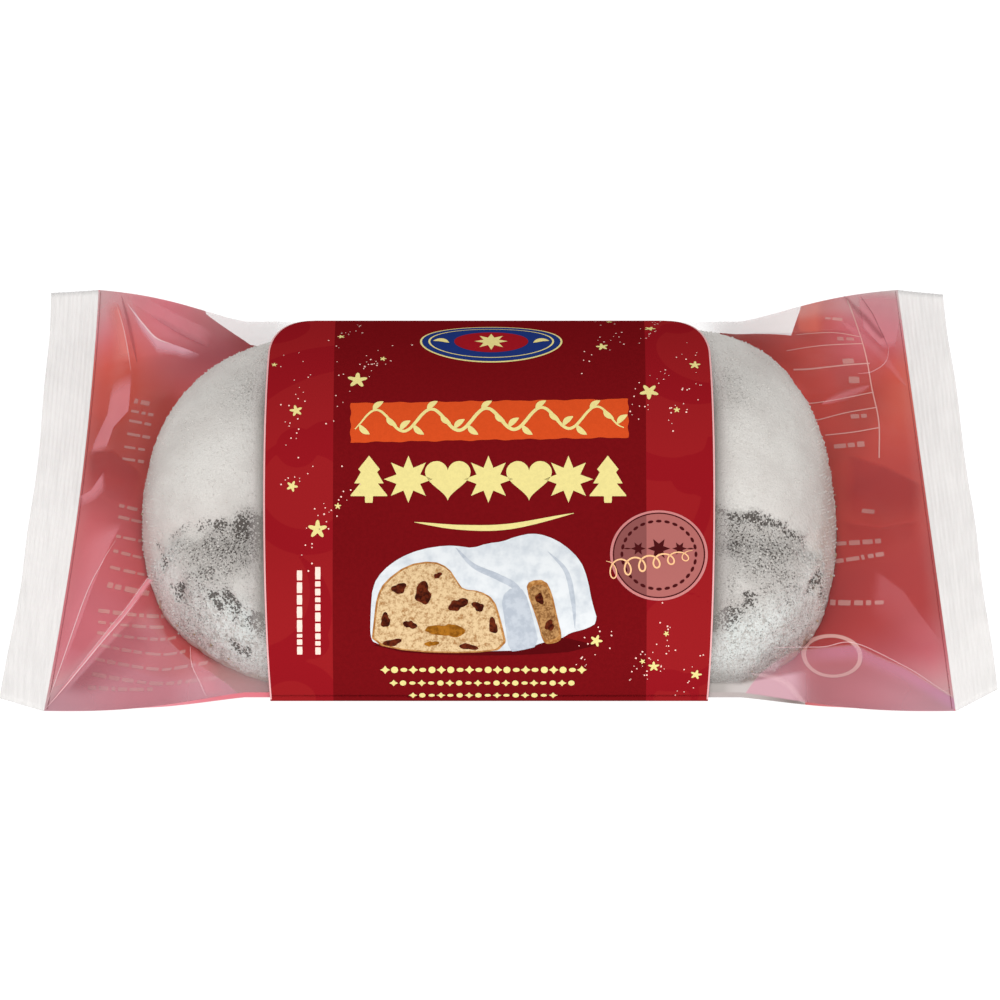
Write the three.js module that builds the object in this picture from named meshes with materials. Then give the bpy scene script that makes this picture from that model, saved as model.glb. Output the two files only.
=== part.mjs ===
// A whole stollen in its sealed film pack, lying on its flat base.
// +Z is up, +X runs along the loaf and -Y is the side that faces the buyer. Millimetres.
import * as THREE from 'three';

// The loaf in its film: a high hump at the back and a lower lip in front.
// Both are half ellipses in the section across the pack.
const HUMP = { y: 5, z: 4, halfWidth: 37.8, rise: 34.8 };
const LIP = { y: -18, z: 3, halfWidth: 27.8, rise: 27 };
const FRONT_ROLL = { y: -43.8, z: 2, radius: 2 };
const BACK_ROLL = { y: 39.1, z: 3.7, radius: 3.7 };

// The film is a straight tube round the loaf and runs in flat planes to the end seals.
const TUBE_END = { left: -52, right: 49 };
const BASE_END = { left: -67, right: 63 };

// End seals: flat fins that slant and flare, and lie further out in front than at the back.
const SEAL = { halfSpan: 56.5, z: 10.5, thickness: 0.8 };
const SEAL_LINE = {
  left: { x: -86.45, slant: 0.074, bow: -0.0005, width: 9.4, flare: 0.4, lift: 1.3, taper: 2.2 },
  right: { x: 87.6, slant: -0.08, bow: 0, width: 8.9, flare: 0.4, lift: 2.4, taper: 3.6 },
};

// The bend where the tube turns into an end plane, as a share of that plane's length.
const END_BEND = 0.12;

// The film folds flat from these directions of the tube, counted from straight back over the
// top: low in front and at the shoulder of the hump behind.
const FRONT_FOLD_ANGLE = 180;
const BACK_FOLD_ANGLE = 40;

// Air swells the ends across the pack by this share.
const END_SWELL = 0.034;

// Film lower than this on the tube stays on the ground for a while before it climbs.
const GROUND_FILM = 6;

// Printed label: a thin skin over the film, with round corners at the back and sides that
// bulge a little. Its two ends face these angles, counted from straight back over the top.
const LABEL = { left: -46.7, right: 42.3, bulge: 1, gap: 0.3, thickness: 0.35 };
const LABEL_CORNER = { width: 8.5, length: 18, roundness: 1.7 };
const LABEL_FRONT_ANGLE = 222;
const LABEL_BACK_ANGLE = 48;

// Creases in the film, each from a seal corner towards the loaf. `from` and `to` are
// [share of the way from tube to seal, share of the way from front edge to back edge].
const CREASES = [
  { side: 'left', from: [1, 0], to: [0.18, 0.34], depth: 1.3, width: 3.2 },
  { side: 'left', from: [1, 0], to: [0.35, 0.52], depth: -0.9, width: 2.6 },
  { side: 'left', from: [0.98, 0.97], to: [0.1, 0.74], depth: 1.1, width: 3.4 },
  { side: 'left', from: [0.62, 0.42], to: [0.66, 0.92], depth: 0.9, width: 2.8 },
  { side: 'right', from: [1, 0], to: [0.15, 0.12], depth: 1.0, width: 3.0 },
  { side: 'right', from: [1, 1], to: [0.5, 0.8], depth: 1.4, width: 3.0 },
  { side: 'right', from: [0.9, 0.98], to: [0.2, 0.7], depth: -1.0, width: 3.2 },
  { side: 'right', from: [0.7, 0.2], to: [0.55, 0.6], depth: 0.8, width: 3.0 },
];

// Mesh fineness.
const COLUMNS = 42;
const END_ROWS = 20;
const TUBE_ROWS = 8;
const FIN_ROWS = 3;
const LABEL_ROWS = 60;
const LABEL_COLUMNS = 6;
const OUTLINE_STEPS = 360;

const radians = THREE.MathUtils.degToRad;

// --- the section across the tube ---------------------------------------------------

// The furthest point of a half ellipse, flat side down, in a direction.
function domePoint(dome, cos, sin) {
  if (sin <= 0) {
    return new THREE.Vector2(dome.y + Math.sign(cos) * dome.halfWidth, dome.z);
  }
  const reach = Math.hypot(dome.halfWidth * cos, dome.rise * sin);
  return new THREE.Vector2(
    dome.y + (dome.halfWidth ** 2 * cos) / reach,
    dome.z + (dome.rise ** 2 * sin) / reach,
  );
}

function rollPoint(roll, cos, sin) {
  return new THREE.Vector2(roll.y + roll.radius * cos, roll.z + roll.radius * sin);
}

// Taut film touches whichever of the four forms reaches furthest in each direction.
function tubePoint(angle) {
  const cos = Math.cos(angle);
  const sin = Math.sin(angle);
  const touching = [
    domePoint(HUMP, cos, sin),
    domePoint(LIP, cos, sin),
    rollPoint(FRONT_ROLL, cos, sin),
    rollPoint(BACK_ROLL, cos, sin),
  ];
  const reach = (point) => point.x * cos + point.y * sin;
  return touching.reduce((best, point) => (reach(point) > reach(best) ? point : best));
}

// Points at even spacing along the tube section between two directions, in degrees.
function tubeOutline(fromAngle, toAngle, columns) {
  const dense = [];
  for (let step = 0; step <= OUTLINE_STEPS; step += 1) {
    const angle = radians(fromAngle + ((toAngle - fromAngle) * step) / OUTLINE_STEPS);
    dense.push(tubePoint(angle));
  }
  const travelled = [0];
  for (let step = 1; step < dense.length; step += 1) {
    travelled.push(travelled[step - 1] + dense[step].distanceTo(dense[step - 1]));
  }
  const total = travelled[travelled.length - 1];
  const even = [];
  let step = 1;
  for (let column = 0; column <= columns; column += 1) {
    const wanted = (total * column) / columns;
    while (step < dense.length - 1 && travelled[step] < wanted) {
      step += 1;
    }
    const gap = travelled[step] - travelled[step - 1];
    const share = gap > 0 ? (wanted - travelled[step - 1]) / gap : 0;
    even.push(dense[step - 1].clone().lerp(dense[step], THREE.MathUtils.clamp(share, 0, 1)));
  }
  return even;
}

// --- the bag -----------------------------------------------------------------------

// Where the seal line of one end lies for a place across the pack.
function sealX(side, y) {
  const line = SEAL_LINE[side];
  return line.x + line.slant * y + line.bow * y * y;
}

// A point of the flat seal. `out` runs from 0 at the seal line to 1 at the fin's edge.
function sealPoint(side, across, out, layer) {
  const line = SEAL_LINE[side];
  const outward = side === 'left' ? -1 : 1;
  const spread = SEAL.halfSpan * (2 * across - 1);
  const y = spread * (1 - (line.taper / SEAL.halfSpan) * out);
  const width = line.width + line.flare * (2 * across - 1);
  return new THREE.Vector3(
    sealX(side, spread) + outward * width * out,
    y,
    SEAL.z + line.lift * out + (layer * SEAL.thickness) / 2,
  );
}

// Distance from a point to a crease's line, both in shares of the end plane, in mm.
function distanceToCrease(crease, away, across) {
  const length = SEAL_LINE[crease.side].x - TUBE_END[crease.side];
  const scale = new THREE.Vector2(Math.abs(length), 2 * SEAL.halfSpan);
  const from = new THREE.Vector2(...crease.from).multiply(scale);
  const along = new THREE.Vector2(...crease.to).multiply(scale).sub(from);
  const point = new THREE.Vector2(away, across).multiply(scale).sub(from);
  const share = THREE.MathUtils.clamp(point.dot(along) / along.lengthSq(), 0, 1);
  return { gap: point.addScaledVector(along, -share).length(), share };
}

// The way from tube to seal with a soft bend at the tube, still 0 and 1 at its ends.
function softStart(away) {
  return (Math.hypot(away, END_BEND) - END_BEND) / (Math.hypot(1, END_BEND) - END_BEND);
}

// How far the creases lift or sink the film at a place on an end plane.
function creaseRelief(side, away, across) {
  const free = Math.sin(Math.PI * THREE.MathUtils.clamp(away, 0, 1));
  return CREASES.filter((crease) => crease.side === side).reduce((sum, crease) => {
    const { gap, share } = distanceToCrease(crease, away, across);
    const swell = Math.exp(-((gap / crease.width) ** 2)) * Math.sin(Math.PI * share);
    return sum + crease.depth * swell * free;
  }, 0);
}

// How much wider the air makes an end, none at the tube and none at the seal.
function swell(away) {
  return 1 + END_SWELL * Math.sin(Math.PI * away);
}

// One closed ring of the bag: the top from front to back, then the base back again.
function ring(topOf, baseOf) {
  const points = [];
  for (let column = 0; column < COLUMNS; column += 1) {
    points.push(topOf(column / COLUMNS, column));
  }
  for (let column = 0; column < COLUMNS; column += 1) {
    points.push(baseOf(1 - column / COLUMNS, column));
  }
  return points;
}

function bagRings() {
  const top = tubeOutline(FRONT_FOLD_ANGLE, BACK_FOLD_ANGLE, COLUMNS);
  const base = tubeOutline(BACK_FOLD_ANGLE, FRONT_FOLD_ANGLE - 360, COLUMNS);
  const tubeRing = (x) => ring(
    (across, column) => new THREE.Vector3(x, top[column].x, top[column].y),
    (across, column) => new THREE.Vector3(x, base[column].x, base[column].y),
  );
  const finRing = (side, out) => ring(
    (across) => sealPoint(side, across, out, across > 0 ? 1 : 0),
    (across) => sealPoint(side, across, out, across < 1 ? -1 : 0),
  );
  // From the tube to the seal the top runs straight, and the base stays flat for longer.
  const endRing = (side, away) => ring(
    (across, column) => {
      const start = new THREE.Vector3(TUBE_END[side], top[column].x, top[column].y);
      const point = start.lerp(sealPoint(side, across, 0, across > 0 ? 1 : 0), softStart(away));
      point.x = THREE.MathUtils.lerp(TUBE_END[side], sealPoint(side, across, 0, 0).x, away);
      point.y *= swell(away);
      point.z += creaseRelief(side, away, across);
      return point;
    },
    (across, column) => {
      const start = new THREE.Vector3(TUBE_END[side], base[column].x, base[column].y);
      const seal = sealPoint(side, across, 0, across < 1 ? -1 : 0);
      const point = start.clone().lerp(seal, softStart(away));
      point.x = THREE.MathUtils.lerp(TUBE_END[side], seal.x, away);
      const flat = (BASE_END[side] - TUBE_END[side]) / (seal.x - TUBE_END[side]);
      const climb = softStart(THREE.MathUtils.clamp((away - flat) / (1 - flat), 0, 1));
      const late = THREE.MathUtils.lerp(start.z, seal.z, climb);
      const low = THREE.MathUtils.clamp(1 - start.z / GROUND_FILM, 0, 1);
      const inside = Math.min(1, 2.5 * Math.sin(Math.PI * across));
      point.y *= swell(away);
      point.z = THREE.MathUtils.lerp(point.z, late, low * inside);
      return point;
    },
  );
  const rings = [];
  for (let row = 0; row < FIN_ROWS; row += 1) {
    rings.push(finRing('left', 1 - row / FIN_ROWS));
  }
  for (let row = 0; row < END_ROWS; row += 1) {
    rings.push(endRing('left', 1 - row / END_ROWS));
  }
  for (let row = 0; row < TUBE_ROWS; row += 1) {
    rings.push(tubeRing(THREE.MathUtils.lerp(TUBE_END.left, TUBE_END.right, row / TUBE_ROWS)));
  }
  for (let row = 0; row < END_ROWS; row += 1) {
    rings.push(endRing('right', row / END_ROWS));
  }
  for (let row = 0; row <= FIN_ROWS; row += 1) {
    rings.push(finRing('right', row / FIN_ROWS));
  }
  return rings;
}

// --- turning rings into closed solids ----------------------------------------------

// A closed skin through rings of equal length, shut at both ends.
function closedLoft(rings) {
  const size = rings[0].length;
  const positions = rings.flat().flatMap((point) => point.toArray());
  const triangles = [];
  for (let row = 0; row + 1 < rings.length; row += 1) {
    const here = row * size;
    const there = here + size;
    for (let column = 0; column < size; column += 1) {
      const next = (column + 1) % size;
      triangles.push(here + column, there + column, there + next);
      triangles.push(here + column, there + next, here + next);
    }
  }
  const lastRing = (rings.length - 1) * size;
  capLadder(size, (a, b, c) => triangles.push(a, b, c));
  capLadder(size, (a, b, c) => triangles.push(lastRing + a, lastRing + c, lastRing + b));
  const geometry = new THREE.BufferGeometry();
  geometry.setAttribute('position', new THREE.Float32BufferAttribute(positions, 3));
  geometry.setIndex(triangles);
  geometry.computeVertexNormals();
  return geometry;
}

// Fills a flat ring with a ladder of faces between its two long sides.
function capLadder(size, addTriangle) {
  let near = 0;
  let far = size - 1;
  while (near + 1 < far) {
    addTriangle(near, near + 1, far);
    if (near + 1 < far - 1) {
      addTriangle(near + 1, far - 1, far);
    }
    near += 1;
    far -= 1;
  }
}

// --- the printed label -------------------------------------------------------------

// How far each side edge draws in, near the rounded back corners.
function cornerInset(distanceFromBack) {
  const { width, length, roundness } = LABEL_CORNER;
  const rise = Math.max(0, 1 - distanceFromBack / length);
  return width * (1 - (1 - rise ** roundness) ** (1 / roundness));
}

// The label follows the tube section from the front edge up and over to the back.
function labelRings() {
  const outline = tubeOutline(LABEL_FRONT_ANGLE, LABEL_BACK_ANGLE, LABEL_ROWS);
  const spacing = outline[0].distanceTo(outline[1]);
  return outline.map((place, row) => {
    const before = outline[Math.max(0, row - 1)];
    const after = outline[Math.min(LABEL_ROWS, row + 1)];
    const outward = new THREE.Vector2(before.y - after.y, after.x - before.x).normalize();
    const bulge = LABEL.bulge * Math.sin((Math.PI * row) / LABEL_ROWS);
    const inset = cornerInset(spacing * (LABEL_ROWS - row)) - bulge;
    const layer = (share, height) => {
      const x = THREE.MathUtils.lerp(LABEL.left + inset, LABEL.right - inset, share);
      const lifted = place.clone().addScaledVector(outward, height);
      return new THREE.Vector3(x, lifted.x, lifted.y);
    };
    const shares = Array.from({ length: LABEL_COLUMNS + 1 }, (_, step) => step / LABEL_COLUMNS);
    const outside = shares.map((share) => layer(1 - share, LABEL.gap + LABEL.thickness));
    const inside = shares.map((share) => layer(share, LABEL.gap));
    return [...outside, ...inside];
  });
}

// --- the pack ----------------------------------------------------------------------

function namedMesh(name, geometry, color, roughness, metalness) {
  const mesh = new THREE.Mesh(
    geometry,
    new THREE.MeshStandardMaterial({ color, roughness, metalness }),
  );
  mesh.name = name;
  return mesh;
}

const pack = new THREE.Group();
pack.add(namedMesh('bag', closedLoft(bagRings()), 0xc9969a, 0.25, 0));
pack.add(namedMesh('label', closedLoft(labelRings()), 0x7d1519, 0.35, 0));

export default pack;
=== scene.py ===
"""A sugar-dusted stollen in a sealed film pack, built round its CAD frame.

The pack lies on its flat base: +X runs along the loaf, -Y is the front and +Z is up.
Surfaces are worked out in millimetres and become metres when a mesh is filled.
"""

import math

import bmesh
import bpy
import numpy as np
from mathutils import Matrix, Vector, noise


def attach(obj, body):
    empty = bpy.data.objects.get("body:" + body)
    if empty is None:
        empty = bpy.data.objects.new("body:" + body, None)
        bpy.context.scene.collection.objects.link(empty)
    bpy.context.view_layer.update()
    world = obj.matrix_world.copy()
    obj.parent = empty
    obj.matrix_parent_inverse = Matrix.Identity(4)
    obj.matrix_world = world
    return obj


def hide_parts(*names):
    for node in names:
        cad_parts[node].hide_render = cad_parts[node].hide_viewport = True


bl_info = {
    "name": "Packed Stollen",
    "version": (1, 0, 0),
    "blender": (4, 5, 0),
    "location": "3D View > Sidebar > Stollen",
    "description": "Builds a sugar-dusted stollen in clear film with a printed label",
    "category": "Add Mesh",
}

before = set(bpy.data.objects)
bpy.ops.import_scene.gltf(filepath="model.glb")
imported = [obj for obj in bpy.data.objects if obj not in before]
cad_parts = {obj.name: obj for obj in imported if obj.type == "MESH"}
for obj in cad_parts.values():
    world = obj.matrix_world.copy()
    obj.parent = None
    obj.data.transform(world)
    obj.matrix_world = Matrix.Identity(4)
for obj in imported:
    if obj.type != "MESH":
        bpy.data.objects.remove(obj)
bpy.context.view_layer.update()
MM = 0.001
TURN = 2 * math.pi
SIDES = ("left", "right")

# The tube section: (y, z, half width, rise) of the two domes, (y, z, radius) of the rolls.
DOMES = ((5.0, 4.0, 37.8, 34.8), (-18.0, 3.0, 27.8, 27.0))
ROLLS = ((-43.8, 2.0, 2.0), (39.1, 3.7, 3.7))
FRONT_FOLD = 180
BACK_FOLD = 40

# The film's ends and its flat seals.
TUBE_END = {"left": -52.0, "right": 49.0}
BASE_END = {"left": -67.0, "right": 63.0}
OUTWARD = {"left": -1.0, "right": 1.0}
SEAL_HALF = 56.5
SEAL_HEIGHT = 10.5
SEAL_LINE = {
    "left": {"x": -86.45, "slant": 0.074, "bow": -0.0005, "width": 9.4, "lift": 1.3, "taper": 2.2},
    "right": {"x": 87.6, "slant": -0.08, "bow": 0.0, "width": 8.9, "lift": 2.4, "taper": 3.6},
}
SEAL_FLARE = 0.4
END_SCALE = {side: (abs(SEAL_LINE[side]["x"] - TUBE_END[side]), 2 * SEAL_HALF) for side in SIDES}
END_BEND = 0.12
END_SWELL = 0.034
GROUND_FILM = 6.0
FILM_LIFT = 0.3

# The label: its sides, their bulge, the back corners (width, length, roundness) and the end angles.
LABEL_LEFT = -46.7
LABEL_RIGHT = 42.3
LABEL_BULGE = 1.35
LABEL_CORNER = (8.5, 18.0, 1.7)
LABEL_ANGLES = (222, 48)
LABEL_LIFT = 0.45
BAND_LEFT = -33.9
BAND_RIGHT = 29.7


def srgb(red, green, blue):
    """Screen values from 0 to 255 as the linear colour that shaders take."""
    shares = (value / 255 for value in (red, green, blue))
    return tuple(share / 12.92 if share <= 0.04045 else ((share + 0.055) / 1.055) ** 2.4 for share in shares)


def dimmed(shade, share):
    return tuple(channel * share for channel in shade)


def smooth(value, low, high):
    """0 at low, 1 at high and smooth between, also where low is the larger."""
    share = np.clip((value - low) / (high - low), 0, 1)
    return share * share * (3 - 2 * share)


def hill(value, middle, width):
    return np.exp(-((value - middle) / width) ** 2)


def lerp(start, end, share):
    return start + (end - start) * share


# --- settings ---


def number(name, description, default, **options):
    return bpy.props.FloatProperty(name=name, description=description, default=default, **options)


def length(name, description, default):
    return number(name, description, default, unit="LENGTH", precision=4)


def color(name, description, *shade):
    return bpy.props.FloatVectorProperty(
        name=name, description=description, default=srgb(*shade), subtype="COLOR", size=3, min=0, max=1
    )


def count(name, description, default):
    return bpy.props.IntProperty(name=name, description=description, default=default, min=0)


class FilmSettings(bpy.types.PropertyGroup):
    """Colours and sizes of the film, its print and its seals."""

    red: color("Print red", "Main colour of the back print", 206, 71, 59)
    deep: color("Deep red", "Back print in shade", 160, 46, 52)
    pink: color("Print pink", "Back print where light comes through", 212, 116, 129)
    glow: color("Orange glow", "Warm patches of the back print", 214, 92, 72)
    veil: color("Veil", "Print that wraps over the front edge", 190, 142, 154)
    lilac: color("Lilac", "Tint along the right front edge", 196, 122, 162)
    milk: color("Milky film", "Clear film where it turns milky", 222, 212, 210)
    haze: number("Haze", "Milkiness of the clear film", 0.015, subtype="FACTOR", min=0, max=1)
    seal: color("Seal", "Welded fins", 240, 237, 235)
    rib_pitch: length("Rib pitch", "Spacing of the ribs in the seals", 0.00085)
    rib_height: length("Rib height", "Height of the ribs in the seals", 0.00004)


class LoafSettings(bpy.types.PropertyGroup):
    """Size, roughness and colours of the stollen."""

    half_length: length("Half length", "Half the length of the loaf", 0.0714)
    middle: length("Middle", "Where the middle of the loaf lies along the pack", -0.0022)
    cells: count("Cells", "Mesh cells along each side of the loaf's cube", 118)
    sugar: color("Sugar", "Icing sugar", 215, 212, 207)
    shade: color("Thin sugar", "Icing sugar over crust", 200, 195, 190)
    thin: color("Bare sugar", "Crust under a thin dusting", 170, 163, 156)
    # Near-black speck: crust in pits and cracks, deepened by painted shade there.
    speck: color("Speck", "Crust in pits and cracks", 56, 46, 38)
    crust: color("Crust", "Baked crust at the foot", 198, 174, 146)
    grains: count("Grains", "Loose sugar grains on the loaf", 7000)
    crumbs: count("Crumbs", "Crumbs along the foot of the loaf", 120)
    seed: count("Seed", "Start of the random spread", 7)


class LabelSettings(bpy.types.PropertyGroup):
    """Colours of the printed label."""

    centre: color("Centre", "Dark middle of the label", 110, 14, 19)
    band: color("Bands", "Brighter bands at both sides", 144, 27, 31)
    swirl: color("Swirls", "Tone-on-tone swirls of the bands", 138, 20, 28)
    cream: color("Cream", "Stars, lines and ornament", 224, 210, 138)
    orange: color("Orange", "Brushed strip", 204, 74, 32)
    edge: color("Edge", "Pale rim of the label", 225, 170, 170)
    navy: color("Navy", "Plaque", 30, 50, 112)
    medal: color("Seal pink", "Round seal over the bright band", 166, 98, 94)
    medal_deep: color("Seal brown", "Round seal over the dark middle", 132, 76, 74)
    dot: color("Dots", "Small dots between the stars", 255, 214, 200)
    ink: color("Ink", "Thin rings of the round seal", 70, 20, 22)
    crumb: color("Crumb", "Pictured cut face", 212, 184, 142)
    raisin: color("Raisins", "Pictured raisins", 96, 38, 20)
    sugar: color("Pictured sugar", "Pictured sugar coat", 214, 217, 219)


class StageSettings(bpy.types.PropertyGroup):
    """Camera, light and floor."""

    distance: length("Distance", "From the camera to the pack", 2.2)
    elevation: number("Elevation", "Height angle of the camera", math.radians(50), subtype="ANGLE")
    lens: number("Lens", "Focal length", 386.3, unit="CAMERA")
    aim: bpy.props.FloatVectorProperty(
        name="Aim", description="Point that the camera looks at",
        default=(0, -0.0046, 0.015), subtype="TRANSLATION", size=3,
    )
    sky: number("Sky", "Strength of the even light", 0.66)
    key: number("Key", "Power of the main softbox", 2.0)
    fill: number("Fill", "Power of the side softboxes", 2.3)
    front: number("Front", "Power of the low front softbox", 3.2)


SETTINGS = {
    "stollen_film": FilmSettings,
    "stollen_loaf": LoafSettings,
    "stollen_label": LabelSettings,
    "stollen_stage": StageSettings,
}


# --- the film's surface ---


def tube_point(angle):
    """Where taut film touches the four forms inside it, in one direction."""
    cos, sin = math.cos(angle), math.sin(angle)
    touching = []
    for y, z, half, rise in DOMES:
        if sin <= 0:
            touching.append((y + math.copysign(half, cos), z))
        else:
            reach = math.hypot(half * cos, rise * sin)
            touching.append((y + half * half * cos / reach, z + rise * rise * sin / reach))
    touching += [(y + radius * cos, z + radius * sin) for y, z, radius in ROLLS]
    return max(touching, key=lambda point: point[0] * cos + point[1] * sin)


def tube_outline(start, end, steps=400):
    """Evenly spaced points of the tube section between two angles, and their length."""
    dense = np.array([tube_point(angle) for angle in np.radians(np.linspace(start, end, 721))])
    travelled = np.concatenate(([0], np.cumsum(np.hypot(*np.diff(dense, axis=0).T))))
    wanted = np.linspace(0, travelled[-1], steps + 1)
    return np.stack([np.interp(wanted, travelled, line) for line in dense.T], -1), travelled[-1]


TOP_OUTLINE = tube_outline(FRONT_FOLD, BACK_FOLD)[0]
BASE_OUTLINE = tube_outline(BACK_FOLD, FRONT_FOLD - 360)[0][::-1]
LABEL_OUTLINE, LABEL_LENGTH = tube_outline(*LABEL_ANGLES, 800)


def outline_at(outline, share):
    places = np.linspace(0, 1, len(outline))
    return np.interp(share, places, outline[:, 0]), np.interp(share, places, outline[:, 1])


def soft_start(away):
    return (np.hypot(away, END_BEND) - END_BEND) / (math.hypot(1, END_BEND) - END_BEND)


def seal_x(side, y):
    line = SEAL_LINE[side]
    return line["x"] + line["slant"] * y + line["bow"] * y * y


def stack(x, y, z):
    return np.stack(np.broadcast_arrays(x, y, z), -1).astype(float)


def film_top(side, away, across, outline=TOP_OUTLINE):
    """Clear upper film of one end. away runs from tube to seal, across from front to back."""
    start_y, start_z = outline_at(outline, across)
    seal_y = SEAL_HALF * (2 * across - 1)
    run = soft_start(away)
    y = lerp(start_y, seal_y, run) * (1 + END_SWELL * np.sin(math.pi * away))
    return stack(lerp(TUBE_END[side], seal_x(side, seal_y), away), y, lerp(start_z, SEAL_HEIGHT, run))


def ground_rise(side, away, line):
    """Share of the seal's height that film has reached which first lies on the ground."""
    flat = (BASE_END[side] - TUBE_END[side]) / (line - TUBE_END[side])
    return soft_start(np.clip((away - flat) / (1 - flat), 0, 1))


def film_base(side, away, across):
    """Printed lower film of one end, which lies on the ground before it climbs."""
    points = film_top(side, away, across, BASE_OUTLINE)
    start_z = outline_at(BASE_OUTLINE, across)[1]
    rise = ground_rise(side, away, seal_x(side, SEAL_HALF * (2 * across - 1)))
    low = np.clip(1 - start_z / GROUND_FILM, 0, 1) * np.minimum(1, 2.5 * np.sin(math.pi * across))
    z = lerp(points[..., 2], lerp(start_z, SEAL_HEIGHT, rise), low)
    points[..., 2] = z + FILM_LIFT * (1 - away) * np.clip(1 - z / 12, 0, 1)
    return points


def along_pack(layer, along, across):
    """A film layer over the whole pack: along is 0 at the left seal and 1 at the right."""
    left = layer("left", np.clip(1 - along / 0.4, 0, 1), across)
    right = layer("right", np.clip((along - 0.6) / 0.4, 0, 1), across)
    points = np.where((along < 0.5)[..., None], left, right)
    middle = np.clip((along - 0.4) / 0.2, 0, 1)
    middle = middle - 0.95 * np.sin(middle * TURN) / TURN
    inside = (along > 0.4) & (along < 0.6)
    points[..., 0] = np.where(inside, lerp(TUBE_END["left"], TUBE_END["right"], middle), points[..., 0])
    return points


# Creases in the clear film: start and end as (away, across), height and width.
FILM_CREASES = {
    "left": (
        ((1, 0), (0.64, 0.46), 1.2, 2.6),
        ((1, 0), (0.42, 0.28), 1.0, 2.4),
        ((0.98, 0.97), (0.15, 0.72), 1.0, 3.0),
        ((0.86, 0.55), (0.76, 0.86), 0.8, 2.2),
        ((1.0, 0.55), (0.5, 0.47), -0.9, 3.0),
        ((0.75, 0.2), (0.2, 0.05), 0.6, 2.6),
    ),
    "right": (
        ((1, 0), (0.15, 0.12), 1.0, 3.0),
        ((1, 1), (0.6, 0.85), 1.1, 2.4),
        ((0.9, 0.98), (0.3, 0.68), -0.8, 3.0),
        ((0.95, 0.5), (0.45, 0.42), -0.8, 3.2),
        ((0.9, 0.3), (0.5, 0.55), 0.6, 3.0),
    ),
}


def crease_relief(side, away, across):
    """Height that the creases add to the film, none at its fixed edges."""
    scale = np.array(END_SCALE[side])
    place = np.stack(np.broadcast_arrays(away, across), -1) * scale
    relief = np.zeros(place.shape[:-1])
    for start, end, height, width in FILM_CREASES[side]:
        line = (np.array(end) - start) * scale
        share = np.clip((place - start * scale) @ line / (line @ line), 0, 1)
        gap = np.linalg.norm(place - start * scale - share[..., None] * line, axis=-1)
        relief += height * hill(gap, 0, width) * np.sin(math.pi * share)
    gathers = np.sin(across * 150 + 2.2 * np.sin(across * 23)) * np.exp(-(1 - away) * scale[0] / 5.0)
    swell = 0.7 + 0.35 * np.sin(away * 5 + across * 9) + 0.3 * np.sin(across * 21 - away * 7)
    relief += 0.22 * gathers + swell
    return relief * np.sin(math.pi * np.clip(away, 0, 1)) * np.sin(math.pi * across) ** 0.3


def creased_top(side, away, across):
    points = film_top(side, away, across)
    points[..., 2] += crease_relief(side, away, across)
    return points


def on_layer(layer, side):
    """A film layer as a surface that takes (away, across) places and a lift."""
    def surface(place, lift):
        away, across = place[..., 0], place[..., 1]
        step = 0.004
        here = layer(side, away, across)
        normal = np.cross(layer(side, away + step, across) - here, layer(side, away, across + step) - here)
        normal *= OUTWARD[side] / np.maximum(np.linalg.norm(normal, axis=-1, keepdims=True), 1e-9)
        return here + normal * np.asarray(lift)[..., None]
    return surface


def on_label(place, lift):
    """The label's surface: place holds x and the distance from its front end, both in mm."""
    share = place[..., 1] / LABEL_LENGTH
    y, z = outline_at(LABEL_OUTLINE, share)
    ahead, behind = (np.array(outline_at(LABEL_OUTLINE, share + step)) for step in (0.004, -0.004))
    along_y, along_z = ahead - behind
    height = (LABEL_LIFT + lift) / np.maximum(np.hypot(along_y, along_z), 1e-9)
    return stack(place[..., 0], y - height * along_z, z + height * along_y)


# --- mesh tools ---


def add_grid(bm, columns, rows, place, material=0, masks=None):
    """Adds a grid: place(u, v) gives its points in mm and masks(u, v) its point values by name."""
    floats = bm.verts.layers.float
    names = tuple(masks(np.zeros(1), np.zeros(1))) if masks else ()
    for name in names:
        if name not in floats.keys():
            floats.new(name)
    made = bmesh.ops.create_grid(bm, x_segments=columns, y_segments=rows, size=0.5)["verts"]
    u, v = np.array([vert.co.xy for vert in made]).T + 0.5
    for vert, point in zip(made, place(u, v) * MM):
        vert.co = point
    values = masks(u, v) if masks else {}
    for name in names:
        layer = floats[name]
        for vert, value in zip(made, np.broadcast_to(values[name], u.shape)):
            vert[layer] = value
    for face in {face for vert in made for face in vert.link_faces}:
        face.material_index = material
        face.smooth = True
    return made


def add_patch(bm, centre, radius, lift, material=0, inner=0.0, rings=3, segments=48):
    """A flat shape on the label: radius(angle) is its edge, inner the share left open."""
    def place(u, v):
        angle = u * TURN
        reach = radius(angle) * lerp(inner, 1, v)
        spot = np.stack((centre[0] + reach * np.cos(angle), centre[1] + reach * np.sin(angle)), -1)
        return on_label(spot, lift)
    made = add_grid(bm, segments, rings, place, material)
    bmesh.ops.remove_doubles(bm, verts=made, dist=2e-6)


def curve_through(points, share):
    """A smooth curve through a few points, at shares of its length."""
    points = np.array(points, float)
    knots = np.concatenate(([0], np.cumsum(np.linalg.norm(np.diff(points, axis=0), axis=1))))
    knots /= knots[-1]
    padded = np.vstack((2 * points[0] - points[1], points, 2 * points[-1] - points[-2]))
    index = np.clip(np.searchsorted(knots, share, side="right") - 1, 0, len(points) - 2)
    t = ((share - knots[index]) / (knots[index + 1] - knots[index]))[..., None]
    before, start, end, after = (padded[index + step] for step in range(4))
    return 0.5 * (
        2 * start + (end - before) * t
        + (2 * before - 5 * start + 4 * end - after) * t ** 2
        + (3 * start - before - 3 * end + after) * t ** 3
    )


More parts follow.
